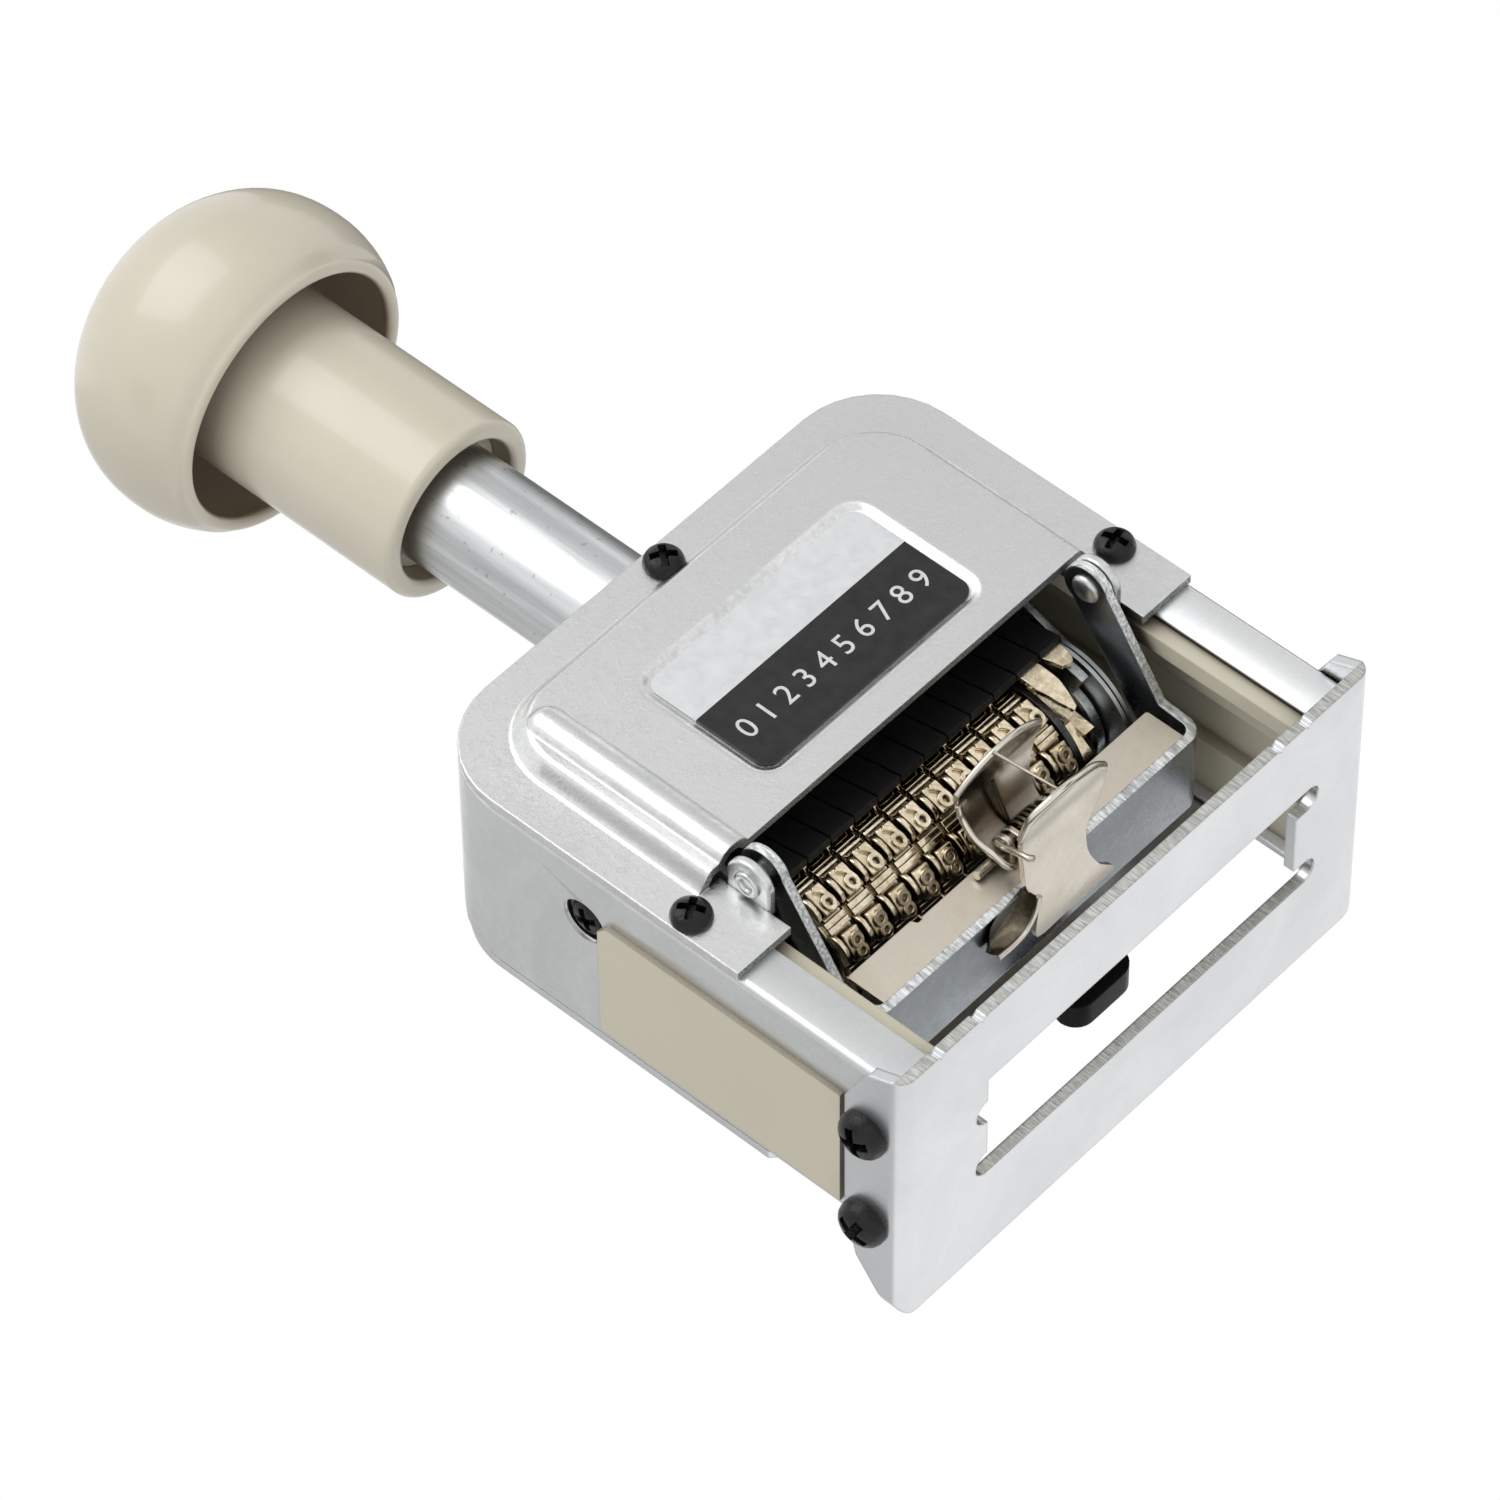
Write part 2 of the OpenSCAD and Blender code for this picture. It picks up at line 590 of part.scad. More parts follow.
// Retaining pawls: a row of black leaves on one shaft, one for each wheel and two for the cams
leaf_shaft_r = 1.2;
leaf_eye_share = 1.8;
leaf_eye_r = leaf_shaft_r * leaf_eye_share;
leaf_t = 1;
leaf_w = wheel_pitch - gap;
leaf_count = wheel_count + 2;
leaf_tip = [-12, 32.4];
module pawl_leaves() color("black") placed() {
    lean = atan2(leaf_pivot[0] - leaf_tip[0], leaf_pivot[1] - leaf_tip[1]);
    long = norm(leaf_pivot - leaf_tip);
    for (i = [0 : leaf_count - 1]) translate([wheels_x + i * wheel_pitch, leaf_pivot[0], leaf_pivot[1]])
        rotate([-lean, 0, 0]) difference() {
            union() {
                bar_x(0, leaf_w, 0, 0, leaf_eye_r);
                translate([0, -leaf_t / 2, -long]) cube([leaf_w, leaf_t, long]);
            }
            bar_x(-cut, leaf_w + cut, 0, 0, leaf_shaft_r + run_fit);
        }
    bar_x(wheels_x, wheels_x + leaf_count * wheel_pitch - gap, leaf_pivot[0], leaf_pivot[1] + leaf_eye_r,
        leaf_t / 2);
}
module pawl_shaft() color("lightgray") placed() bar_x(mech_l, mech_r, leaf_pivot[0], leaf_pivot[1], leaf_shaft_r);

// Number wheel: ten raised type lands beside a ten-tooth ratchet
wheel_w = wheel_pitch - gap;
ratchet_w = 0.9;
land_share = 0.72;
digit_h = 0.6;
land_h = 1.2;
tooth_up = 0.5;
tooth_h = 1.6;
land_r = wheel_r - digit_h;
core_r = land_r - land_h;
tooth_r = core_r + tooth_up;
land_top_share = 0.42;
tooth_share = 0.12;
function polar(r, a) = [r * cos(a), r * sin(a)];
module type_ring2() polygon([for (i = [0 : wheel_count - 1])
    for (p = [[core_r, -land_share / 2], [land_r, -land_share * land_top_share],
        [land_r, land_share * land_top_share], [core_r, land_share / 2]]) polar(p[0], (i + p[1] + 1 / 2) * step)]);
module ratchet2(r, h) polygon([for (i = [0 : wheel_count - 1])
    for (p = [[r, 0], [r - h, tooth_share]]) polar(p[0], (i + p[1]) * step)]);
module number_wheel(i) color("silver") placed() translate([wheels_x + (i - 1) * wheel_pitch, 0, wheel_z])
    difference() {
        union() {
            along_x(0, ratchet_w) ratchet2(tooth_r, tooth_h);
            along_x(ratchet_w, wheel_w) type_ring2();
        }
        bar_x(-cut, wheel_w + cut, 0, 0, shaft_r + run_fit);
        // Ring groove that sets the type ring off from the ratchet
        along_x(ratchet_w - gap / 2, ratchet_w + gap / 2) difference() {
            circle(wheel_r + cut);
            circle(core_r - cut);
        }
    }

// Dark end ring, nickel repeat cam and zinc sector at the right of the wheels
sector_share = 0.9;
module end_ring() color("dimgray") placed() difference() {
    bar_x(ring_x, ring_x + ring_t, 0, wheel_z, core_r + cut);
    bar_x(ring_x - cut, ring_x + ring_t + cut, 0, wheel_z, shaft_r);
}
module repeat_cam() color("silver") placed() translate([0, 0, wheel_z]) difference() {
    union() {
        along_x(cam_x, cam_x + cam_w / 2) ratchet2(tooth_r, tooth_h);
        along_x(cam_x + cam_w / 2, cam_x + cam_w) rotate(step / 2) ratchet2(core_r, 2 * land_h);
    }
    bar_x(cam_x - cut, cam_x + cam_w + cut, 0, 0, shaft_r);
}
module cam_sector() color("silver") placed() translate([0, 0, wheel_z]) difference() {
    along_x(sector_x, sector_x + sector_t) {
        circle(plate_boss_r);
        intersection() {
            circle(land_r);
            polygon([[0, 0], [-2 * land_r, -land_r * sector_share], [-2 * land_r, land_r * sector_share]]);
        }
    }
    bar_x(sector_x - cut, sector_x + sector_t + cut, 0, 0, shaft_r);
}

// Feed frame: two arms on the shaft with a bar behind the wheels, and the feed pawl on it
feed_r = 13;
feed_at = 82;
feed_bar_r = 1;
feed_hub_r = 5.6;
feed_arm_w = 4.8;
feed_eye_share = 1.9;
finger_shares = [0.2, 4.6, 1.4, 3.8];
module feed_frame() color("silver") placed() translate([0, 0, wheel_z]) difference() {
    union() {
        for (x = [arm_l, arm_rx]) along_x(x, x + arm_t) {
            circle(feed_hub_r);
            rotate(feed_at) box2([0, -feed_arm_w / 2], [feed_r, feed_arm_w / 2]);
            rotate(feed_at) translate([feed_r, 0]) circle(feed_arm_w / 2);
        }
        bar_x(arm_l, arm_rx + arm_t, feed_r * cos(feed_at), feed_r * sin(feed_at), feed_bar_r);
    }
    bar_x(arm_l - cut, arm_rx + arm_t + cut, 0, 0, shaft_r + run_fit);
}
module feed_pawl() color("dimgray") placed() translate([0, 0, wheel_z]) rotate([feed_at, 0, 0])
    difference() {
        translate([wheels_x, feed_r - feed_bar_r, feed_bar_r + run_fit]) union() {
            bar_x(0, wheels_w - gap, feed_bar_r, -feed_bar_r - run_fit,
                feed_bar_r * feed_eye_share);
            for (i = [0 : wheel_count - 1]) translate([i * wheel_pitch,
                -feed_bar_r * finger_shares[0], -feed_bar_r * finger_shares[1]])
                    cube([ratchet_w, feed_bar_r * finger_shares[2], feed_bar_r * finger_shares[3]]);
        }
        bar_x(wheels_x - cut, wheels_x + wheels_w + cut, feed_r, 0, feed_bar_r + run_fit);
    }

// Tube of round wire wound on a helix from z = 0 up to high, flat enough to scale along Z
function helix_ring(t, coil_r, wire_r, turns, high) = let (a = 360 * turns * t,
    climb = atan2(high, 2 * PI * coil_r * turns))
    [for (k = [0 : 5]) let (u = wire_r * cos(60 * k), v = wire_r * sin(60 * k))
        [(coil_r + u) * cos(a) + v * sin(climb) * sin(a), (coil_r + u) * sin(a) - v * sin(climb) * cos(a),
            high * t + v * cos(climb)]];
module helix(coil_r, wire_r, turns, high) {
    rings = 8 * turns;
    points = [for (i = [0 : rings]) each helix_ring(i / rings, coil_r, wire_r, turns, high)];
    sides = [for (i = [0 : rings - 1], k = [0 : 5]) let (n = (k + 1) % 6, p = 6 * i)
        each [[p + k, p + 6 + k, p + 6 + n], [p + k, p + 6 + n, p + n]]];
    ends = [for (k = [1 : 4]) each [[0, k, k + 1], [6 * rings, 6 * rings + k + 1, 6 * rings + k]]];
    polyhedron(points, concat(sides, ends));
}

// Return spring round the rod, between the tube's seat and the knob's post
spring_r = (rod_r + tube_r - tube_wall) / 2;
spring_wire = 0.6;
spring_turns = 20;
spring_z = tube_foot + seat_h + spring_wire + gap / 2;
spring_l = post_z - gap / 2 - spring_wire - spring_z;
module return_spring() color("gray") placed() translate([0, 0, spring_z])
    helix(spring_r, spring_wire, spring_turns, spring_l);
echo(spring_gap = spring_l / spring_turns - 2 * spring_wire);

// Ink bail: folded strip with two arms from the ears down to the tray's floor
bail_bend = 2.4;
arm_tip = 2.4;
arm_share = 0.8;
elbow_share = 0.6;
elbow_out = 0.6;
module ink_bail() color("silver") placed() difference() {
    // Floor and arms as one fold, trimmed to the arm's outline
    intersection() {
        along_y(-pivot_out - ear_r, tray_back) translate([bail_x, 0]) difference() {
            round_box2([-bail_half, bail_z], [bail_half, 2 * pivot_z], bail_bend);
            round_box2([-bail_half + bail_t, bail_z + bail_t], [bail_half - bail_t, 2 * pivot_z + cut],
                bail_bend - bail_t);
        }
        along_x(bail_x - bail_half - cut, bail_x + bail_half + cut) {
            polygon([[-tray_front, bail_z], [tray_back, bail_z], [tray_back, tray_z + arm_tip],
                [-pivot_out + ear_r * arm_share, pivot_z + ear_r * elbow_share],
                [-pivot_out - ear_r * arm_share, pivot_z - ear_r * elbow_share],
                [-tray_front - elbow_out, pad_top]]);
            translate([-pivot_out, pivot_z]) circle(ear_r);
        }
    }
    bar_x(bail_x - bail_half - cut, bail_x + bail_half + cut, -pivot_out, pivot_z, pin_r + run_fit);
}

// Pad holder: thin nickel tray with a tall notched front lip and clip lugs
holder_half = bail_half - bail_bend;
lip_up = 0.7;
lip_top = pad_top + lip_up;
notch_shares = [-0.59, -0.49];
lip_notch_h = 1.2;
clip_x = 3.7;
clip_w = 14.4;
lug_w = 0.8;
lug_shares = [0.3, 0.2, 0.36];
clip_pin_r = 0.7;
clip_out = 2.4;
clip_up = 3.6;
clip_y = -tray_front - clip_out;
clip_z = tray_z + clip_up;
module pad_holder() color("silver") placed() difference() {
    union() {
        along_y(-tray_front, tray_back) translate([bail_x, 0]) difference() {
            box2([-holder_half, tray_z], [holder_half, pad_top - pad_t / 3]);
            box2([-holder_half + holder_t, tray_z + holder_t], [holder_half - holder_t, pad_top + cut]);
        }
        along_y(-tray_front, -tray_front + holder_t)
            box2([bail_x - holder_half, tray_z], [bail_x + holder_half, lip_top]);
        along_y(tray_back - holder_t, tray_back)
            box2([bail_x - holder_half, tray_z], [bail_x + holder_half, pad_top - pad_t / 3]);
        // Lugs that carry the clip's pin
        for (s = [-1, 1]) along_x(clip_x + s * clip_w * lug_shares[0] - lug_w / 2,
            clip_x + s * clip_w * lug_shares[0] + lug_w / 2) hull() {
                translate([clip_y, clip_z]) circle(2 * clip_pin_r, $fn = 32);
                box2([-tray_front, clip_z - 2 * clip_pin_r], [-tray_front + holder_t, clip_z + 2 * clip_pin_r]);
            }
        // Upper thumb wing, standing up from the lip and bent forward
        thumb_wing();
    }
    along_y(-tray_front - cut, -tray_front + holder_t + cut)
        box2([holder_half * notch_shares[0], lip_top - lip_notch_h], [holder_half * notch_shares[1], lip_top + cut]);
    bar_x(clip_x - clip_w, clip_x + clip_w, clip_y, clip_z, clip_pin_r);
}

// Outline of a bent strip of thickness t along a path, in (y, z)
function side_of(path, i) = let (d = path[min(i + 1, len(path) - 1)] - path[max(i - 1, 0)])
    [-d[1], d[0]] / norm(d);
module strip2(path, t) polygon(concat(
    [for (i = [0 : len(path) - 1]) path[i] + side_of(path, i) * t / 2],
    [for (i = [len(path) - 1 : -1 : 0]) path[i] - side_of(path, i) * t / 2]));

// Plan of a waisted wing: a round rim in front, hollow sides and a given back edge, in (x, y)
module wing2(front, rim_r, back, waist_y) difference() {
    intersection() {
        translate([clip_x, front + rim_r]) circle(rim_r, $fn = 96);
        box2([clip_x - clip_w / 2, front], [clip_x + clip_w / 2, back]);
    }
    for (s = [-1, 1]) translate([clip_x + s * (waist_half + waist_r), waist_y]) circle(waist_r, $fn = 96);
}

// Thumb wing of the clip: a waisted plate that rises from the pin and then bends forward
wing_t = 0.7;
waist_half = 5;
waist_r = 17;
wing_rise = 4.4;
wing_out = 10.4;
wing_rim_r = 10.2;
wing_shares = [[0.1, 0.1], [-0.1, 0.72], [-0.34, 0.98], [-0.72, 1], [-1, 0.88]];
module thumb_wing() intersection() {
    along_x(clip_x - clip_w, clip_x + clip_w) strip2([for (p = wing_shares)
        [clip_y + p[0] * wing_out, clip_z + p[1] * wing_rise]], wing_t);
    translate([0, 0, clip_z]) linear_extrude(2 * wing_rise) difference() {
        wing2(clip_y - wing_out, wing_rim_r, clip_y + clip_out, clip_y);
        box2([clip_x - clip_w * lug_shares[0], clip_y - 3 * clip_pin_r], [clip_x + clip_w * lug_shares[0],
            clip_y + clip_out + cut]);
    }
}

// Ink pad in its holder
module ink_pad() color("black") placed() translate([bail_x - holder_half + holder_t + gap,
    -tray_front + holder_t + gap, tray_z + holder_t])
        cube([2 * (holder_half - holder_t - gap), tray_front + tray_back - 2 * (holder_t + gap), pad_t]);

module clip_pin() color("silver") placed()
    bar_x(clip_x - clip_w * lug_shares[2], clip_x + clip_w * lug_shares[2], clip_y, clip_z, clip_pin_r);

// Clip lever: waisted thumb plate in front, with barbs and a jaw that grip under the tray
lever_t = 0.8;
lever_out = 8.4;
lever_in = 13;
lever_rim_r = 23.5;
lever_drop = 3.8;
lever_z = clip_z - lever_drop;
jaw_drop = 3.2;
jaw_half = 2.5;
barb_half = 7;
// Places along the lever as shares of its length from the pin and of the jaw's drop
lever_shares = [[-1, 0.1], [-0.45, 0], [-0.1, 0.06]];
jaw_shares = [[0.11, 0.36], [0.2, 0.57], [0.42, 0.87], [0.7, 1], [0.88, 0.93], [1, 0.66]];
barb_shares = [0.32, 0.7];
eye_shares = [2, 1.6];
module clip_lever() color("silver") placed() difference() {
    union() {
        intersection() {
            along_x(clip_x - clip_w, clip_x + clip_w) strip2(concat(
                [for (p = lever_shares) [clip_y + p[0] * lever_out, lever_z - p[1] * jaw_drop]],
                [for (p = jaw_shares) [clip_y + p[0] * lever_in, lever_z - p[1] * jaw_drop]]), lever_t);
            translate([0, 0, lever_z - 2 * jaw_drop]) linear_extrude(4 * jaw_drop) {
                wing2(clip_y - lever_out, lever_rim_r, clip_y + lever_in * barb_shares[0], clip_y);
                box2([clip_x - jaw_half, clip_y], [clip_x + jaw_half, clip_y + lever_in]);
                for (s = [-1, 1]) translate([clip_x, clip_y]) polygon([[0, lever_in * barb_shares[0] - cut],
                    [s * waist_half, lever_in * barb_shares[0] - cut],
                    [s * barb_half, lever_in * barb_shares[1]],
                    [s * jaw_half, lever_in * barb_shares[0] + cut]]);
            }
        }
        for (s = [-1, 1]) along_x(clip_x + s * clip_w * lug_shares[1] - lug_w / 2,
            clip_x + s * clip_w * lug_shares[1] + lug_w / 2)
                box2([clip_y - eye_shares[0] * clip_pin_r, lever_z], [clip_y + eye_shares[1] * clip_pin_r,
                    clip_z + 2 * clip_pin_r]);
    }
    bar_x(clip_x - clip_w, clip_x + clip_w, clip_y, clip_z, clip_pin_r + run_fit);
}

// Torsion spring of the clip, wound round its pin
clip_turns = 4;
clip_coil = clip_w * lug_shares[1] - lug_w;
clip_wire = 0.3;
module clip_spring() color("gray") placed() translate([clip_x - clip_coil, clip_y, clip_z])
    rotate([0, 90, 0]) helix(clip_pin_r + 2 * clip_wire, clip_wire, clip_turns, 2 * clip_coil);

foot_plate();
casing();
rear_cover();
front_cover();
label_plate();
guide_tube();
slide_guide(-1);  // slide_guide_left
slide_guide(1);  // slide_guide_right
bail_pin(-1);  // bail_pin_left
bail_pin(1);  // bail_pin_right
foot_screw_at(-1, 0);  // foot_screw_1
foot_screw_at(-1, 1);  // foot_screw_2
foot_screw_at(1, 0);  // foot_screw_3
foot_screw_at(1, 1);  // foot_screw_4
cover_screw_at(0, case_h - top_screw_drop);  // cover_screw_1
cover_screw_at(-cover_screw_x, cover_screw_z);  // cover_screw_2
cover_screw_at(cover_screw_x, cover_screw_z);  // cover_screw_3
wall_screw_at(-1);  // wall_screw_1
wall_screw_at(1);  // wall_screw_2
selector_lever();
selector_knob();
selector_pin();
knob();
sleeve();
sleeve_bush();
plunger_rod();
carriage_plates();
wheel_shaft();
pawl_leaves();
pawl_shaft();
end_ring();
repeat_cam();
cam_sector();
return_spring();
feed_frame();
feed_pawl();
ink_bail();
pad_holder();
ink_pad();
clip_pin();
clip_lever();
clip_spring();
number_wheel(1);  // number_wheel_1
number_wheel(2);  // number_wheel_2
number_wheel(3);  // number_wheel_3
number_wheel(4);  // number_wheel_4
number_wheel(5);  // number_wheel_5
number_wheel(6);  // number_wheel_6
number_wheel(7);  // number_wheel_7
number_wheel(8);  // number_wheel_8
number_wheel(9);  // number_wheel_9
number_wheel(10);  // number_wheel_10
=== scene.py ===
import math

import bmesh
import bpy
from mathutils import Matrix, Vector


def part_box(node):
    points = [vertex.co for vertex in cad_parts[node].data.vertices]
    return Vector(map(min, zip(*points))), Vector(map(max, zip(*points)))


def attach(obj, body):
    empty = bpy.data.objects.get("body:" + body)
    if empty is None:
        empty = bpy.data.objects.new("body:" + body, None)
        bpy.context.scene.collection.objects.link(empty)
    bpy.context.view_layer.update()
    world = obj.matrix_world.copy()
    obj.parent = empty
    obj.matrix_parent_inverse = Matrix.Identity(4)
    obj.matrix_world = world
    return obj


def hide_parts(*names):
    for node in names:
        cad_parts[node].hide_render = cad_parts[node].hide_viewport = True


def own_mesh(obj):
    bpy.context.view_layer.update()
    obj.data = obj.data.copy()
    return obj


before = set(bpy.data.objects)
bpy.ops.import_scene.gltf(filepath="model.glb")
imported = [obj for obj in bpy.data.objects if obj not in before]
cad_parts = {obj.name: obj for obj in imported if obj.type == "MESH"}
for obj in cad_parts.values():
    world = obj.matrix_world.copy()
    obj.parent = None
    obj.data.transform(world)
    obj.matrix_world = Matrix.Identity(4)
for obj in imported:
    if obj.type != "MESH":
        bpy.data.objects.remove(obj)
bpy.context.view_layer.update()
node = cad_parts
MM = 0.001

# Camera: a long lens that looks up at the print face from the lower left, as the photograph
# does with the machine laid on its back. The image is taken to be 1500 x 1500.


def add_object(name, data):
    """A new object in the scene."""
    made = bpy.data.objects.new(name, data)
    bpy.context.scene.collection.objects.link(made)
    return made


camera = add_object("camera", bpy.data.cameras.new("camera"))
bpy.context.scene.camera = camera
camera.data.sensor_width = 36
camera.data.lens = 215.07
camera.data.clip_end = 20
to_right = Vector((0.6686, 0.0078, -0.7436))
to_top = Vector((0.5774, -0.6356, 0.5125))
to_back = Vector((-0.4686, -0.7720, -0.4294))
camera.matrix_world = Matrix.Translation((-0.4839, -0.79175, -0.3850)) @ Matrix(
    (to_right, to_top, to_back)
).transposed().to_4x4()

# Studio: a white surround, soft lamps, and grey cards that only reflections see, so that
# plated metal has something to mirror. The pale floor is seen only from above.


def feed(owner, made, **feeds):
    """Feeds a node's inputs with values or other nodes' outputs. An underscore in an input's
    name stands for a space, and _1 is the second input."""
    for name, given in feeds.items():
        socket = made.inputs[int(name[1:]) if name[1:].isdigit() else name.replace("_", " ")]
        if isinstance(given, bpy.types.NodeSocket):
            owner.node_tree.links.new(given, socket)
        elif socket.type == "RGBA" and len(given) == 3:
            socket.default_value = (*given, 1)
        else:
            socket.default_value = given


def add_node(owner, kind, settings=None, **feeds):
    """A new shader node of a material or the world, with its settings and fed inputs."""
    made = owner.node_tree.nodes.new("ShaderNode" + kind)
    for name, setting in (settings or {}).items():
        setattr(made, name, setting)
    feed(owner, made, **feeds)
    return made


def combine(owner, operation, *parts):
    """A Math node's result."""
    feeds = {f"_{i}": part for i, part in enumerate(parts)}
    return add_node(owner, "Math", {"operation": operation}, **feeds).outputs[0]


def spread(owner, given, low, high, low_out, high_out):
    """What goes from low to high, given out as low_out to high_out."""
    return add_node(owner, "MapRange", Value=given, From_Min=low, From_Max=high,
                    To_Min=low_out, To_Max=high_out).outputs[0]


world = bpy.data.worlds.new("white_surround")
bpy.context.scene.world = world
world.use_nodes = True
seen = add_node(world, "LightPath").outputs
white_for = combine(world, "MAXIMUM", seen["Is Camera Ray"], seen["Is Glossy Ray"])
white_for = combine(world, "MAXIMUM", white_for, seen["Is Transmission Ray"])
feed(world, world.node_tree.nodes["Background"], Color=(1, 1, 1),
     Strength=spread(world, white_for, 0.0, 1.0, 0.55, 1.0))

middle = Vector((0, 0, 0.07))
for name, place, size, power, in_gloss in (
    ("lamp_above", (-0.15, -0.85, 0.7), 0.9, 5.2, True),
    ("lamp_left", (-0.95, -0.35, 0.1), 0.7, 2.2, False),
    ("lamp_low", (0.1, -0.6, -0.75), 0.6, 1.6, False),
):
    lamp = add_object(name, bpy.data.lights.new(name, "AREA"))
    lamp.data.size = size
    lamp.data.energy = power
    lamp.location = place
    lamp.rotation_mode = "QUATERNION"
    lamp.rotation_quaternion = (middle - Vector(place)).to_track_quat("-Z", "Y")
    lamp.visible_glossy = in_gloss


def finish_of(material, **feeds):
    """Feeds the inputs of a material's shader."""
    feed(material, material.node_tree.nodes["Principled BSDF"], **feeds)


def new_material(name, **feeds):
    """A material with nodes and its shader fed."""
    made = bpy.data.materials.new(name)
    made.use_nodes = True
    finish_of(made, **feeds)
    return made


def stage_card(name, toward, size, tone):
    """A card 1.3 m from the machine, seen only in reflections."""
    bpy.ops.mesh.primitive_plane_add(size=1)
    card = bpy.context.object
    card.name = name
    away = Vector(toward).normalized()
    card.scale = (size[0], size[1], 1)
    card.location = middle + away * 1.3
    card.rotation_mode = "QUATERNION"
    card.rotation_quaternion = away.to_track_quat("Z", "Y")
    for rays in ("camera", "diffuse", "transmission", "shadow"):
        setattr(card, "visible_" + rays, False)
    card.data.materials.append(new_material(
        name, Base_Color=(0, 0, 0), Specular_IOR_Level=0, Emission_Color=(1, 1, 1),
        Emission_Strength=tone))


stage_card("card_behind_left", (-0.47, 0.77, 0.43), (1.8, 1.6), 0.62)
stage_card("card_behind_right", (0.85, 0.45, 0.5), (1.2, 0.8), 0.12)
stage_card("card_front_high", (0.4, -0.7, 0.6), (1.3, 0.9), 0.64)
stage_card("card_left", (-0.95, -0.1, 0.3), (0.4, 0.5), 0.2)
stage_card("card_below_right", (0.75, -0.35, -0.35), (0.5, 0.9), 0.1)

bpy.ops.mesh.primitive_plane_add(size=6, location=(0, 0, -0.0002))
floor = bpy.context.object
floor.name = "floor"
for rays in ("diffuse", "glossy", "transmission", "shadow"):
    setattr(floor, "visible_" + rays, False)
pale = new_material("pale_floor", Base_Color=(0.9, 0.9, 0.9), Roughness=0.9)
side = add_node(pale, "MixShader", Fac=add_node(pale, "NewGeometry").outputs["Backfacing"],
                _1=pale.node_tree.nodes["Principled BSDF"].outputs[0],
                _2=add_node(pale, "BsdfTransparent").outputs[0])
feed(pale, pale.node_tree.nodes["Material Output"], Surface=side.outputs[0])
floor.data.materials.append(pale)
bpy.context.scene.view_settings.view_transform = "Standard"

# Foot plate: bright zinc-plated sheet, punched with the print slot and folded up at both
# ends. It lies under everything, so it is the smoothest of the plated pieces.


def on_piece(material, kind="Object"):
    """Where a point is on its piece, in metres, or with Normal the way its face looks."""
    return add_node(material, "TexCoord").outputs[kind]


def noise(material, at, scale, detail=2.0, rough=0.5, twist=0.0):
    """Noise between 0 and 1, with its scale per metre."""
    return add_node(material, "TexNoise", Vector=at, Scale=scale, Detail=detail,
                    Roughness=rough, Distortion=twist).outputs["Fac"]


def two_tone(material, given, low, high, dark, light):
    """Colour that goes from dark to light as what is given goes from low to high."""
    made = add_node(material, "ValToRGB", Fac=given)
    for stop, place, colour in zip(made.color_ramp.elements, (low, high), (dark, light)):
        stop.position = place
        stop.color = (*colour, 1)
    return made.outputs[0]


def blend_in(material, share, under, over):
    """Under where share is 0, over where it is 1."""
    made = add_node(material, "Mix", {"data_type": "RGBA"}, Factor=share, _6=under, _7=over)
    return made.outputs[2]


def rounded_edges(material, radius):
    """Normals that round edges by a radius in mm."""
    return add_node(material, "Bevel", {"samples": 4}, Radius=radius * MM).outputs[0]


def bumps(material, height, strength, deep, **feeds):
    """Normals bumped by a height."""
    return add_node(material, "Bump", Strength=strength, Distance=deep, Height=height,
                    **feeds).outputs[0]


def shade_hollows(material, colour, reach, low, high, shaded):
    """Colour that turns to shaded where other surfaces stand within so many mm."""
    opening = add_node(material, "AmbientOcclusion", {"samples": 6}, Distance=reach * MM)
    share = spread(material, opening.outputs["AO"], low, high, 1.0, 0.0)
    return blend_in(material, share, colour, shaded)


def hair_scratches(material, at, turn, fine):
    """Thin broken lines along one direction, 1 on a line and 0 beside it."""
    stretched = add_node(material, "Mapping", Vector=at, Rotation=turn,
                         Scale=(fine, fine, fine * 0.05)).outputs[0]
    lines = add_node(material, "TexVoronoi", {"feature": "DISTANCE_TO_EDGE"}, Vector=stretched,
                     Scale=1.0).outputs["Distance"]
    broken = noise(material, at, fine * 0.4)
    return combine(material, "MULTIPLY", spread(material, lines, 0.0, 0.03, 1.0, 0.0),
                   spread(material, broken, 0.54, 0.62, 0.0, 1.0))


def cut_edges(material, way, arms=None):
    """1 on a sheet's sheared edges: faces that look forward (Y) or down (Z), and the rims of
    two side arms, given as the middle between them and the inner half width, in mm."""
    looks = add_node(material, "SeparateXYZ", Vector=on_piece(material, "Normal")).outputs
    ahead = spread(material, looks[way], -0.97, -0.99, 0.0, 1.0)
    if not arms:
        return ahead
    centre, half = arms
    spot = add_node(material, "SeparateXYZ", Vector=on_piece(material)).outputs["X"]
    aside = combine(material, "ABSOLUTE", combine(material, "SUBTRACT", spot, centre * MM))
    flank = combine(material, "ABSOLUTE", looks["X"])
    rims = combine(material, "MULTIPLY",
                   spread(material, aside, half * MM, (half + 0.1) * MM, 0.0, 1.0),
                   spread(material, flank, 0.3, 0.15, 0.0, 1.0))
    return combine(material, "MAXIMUM", ahead, rims)


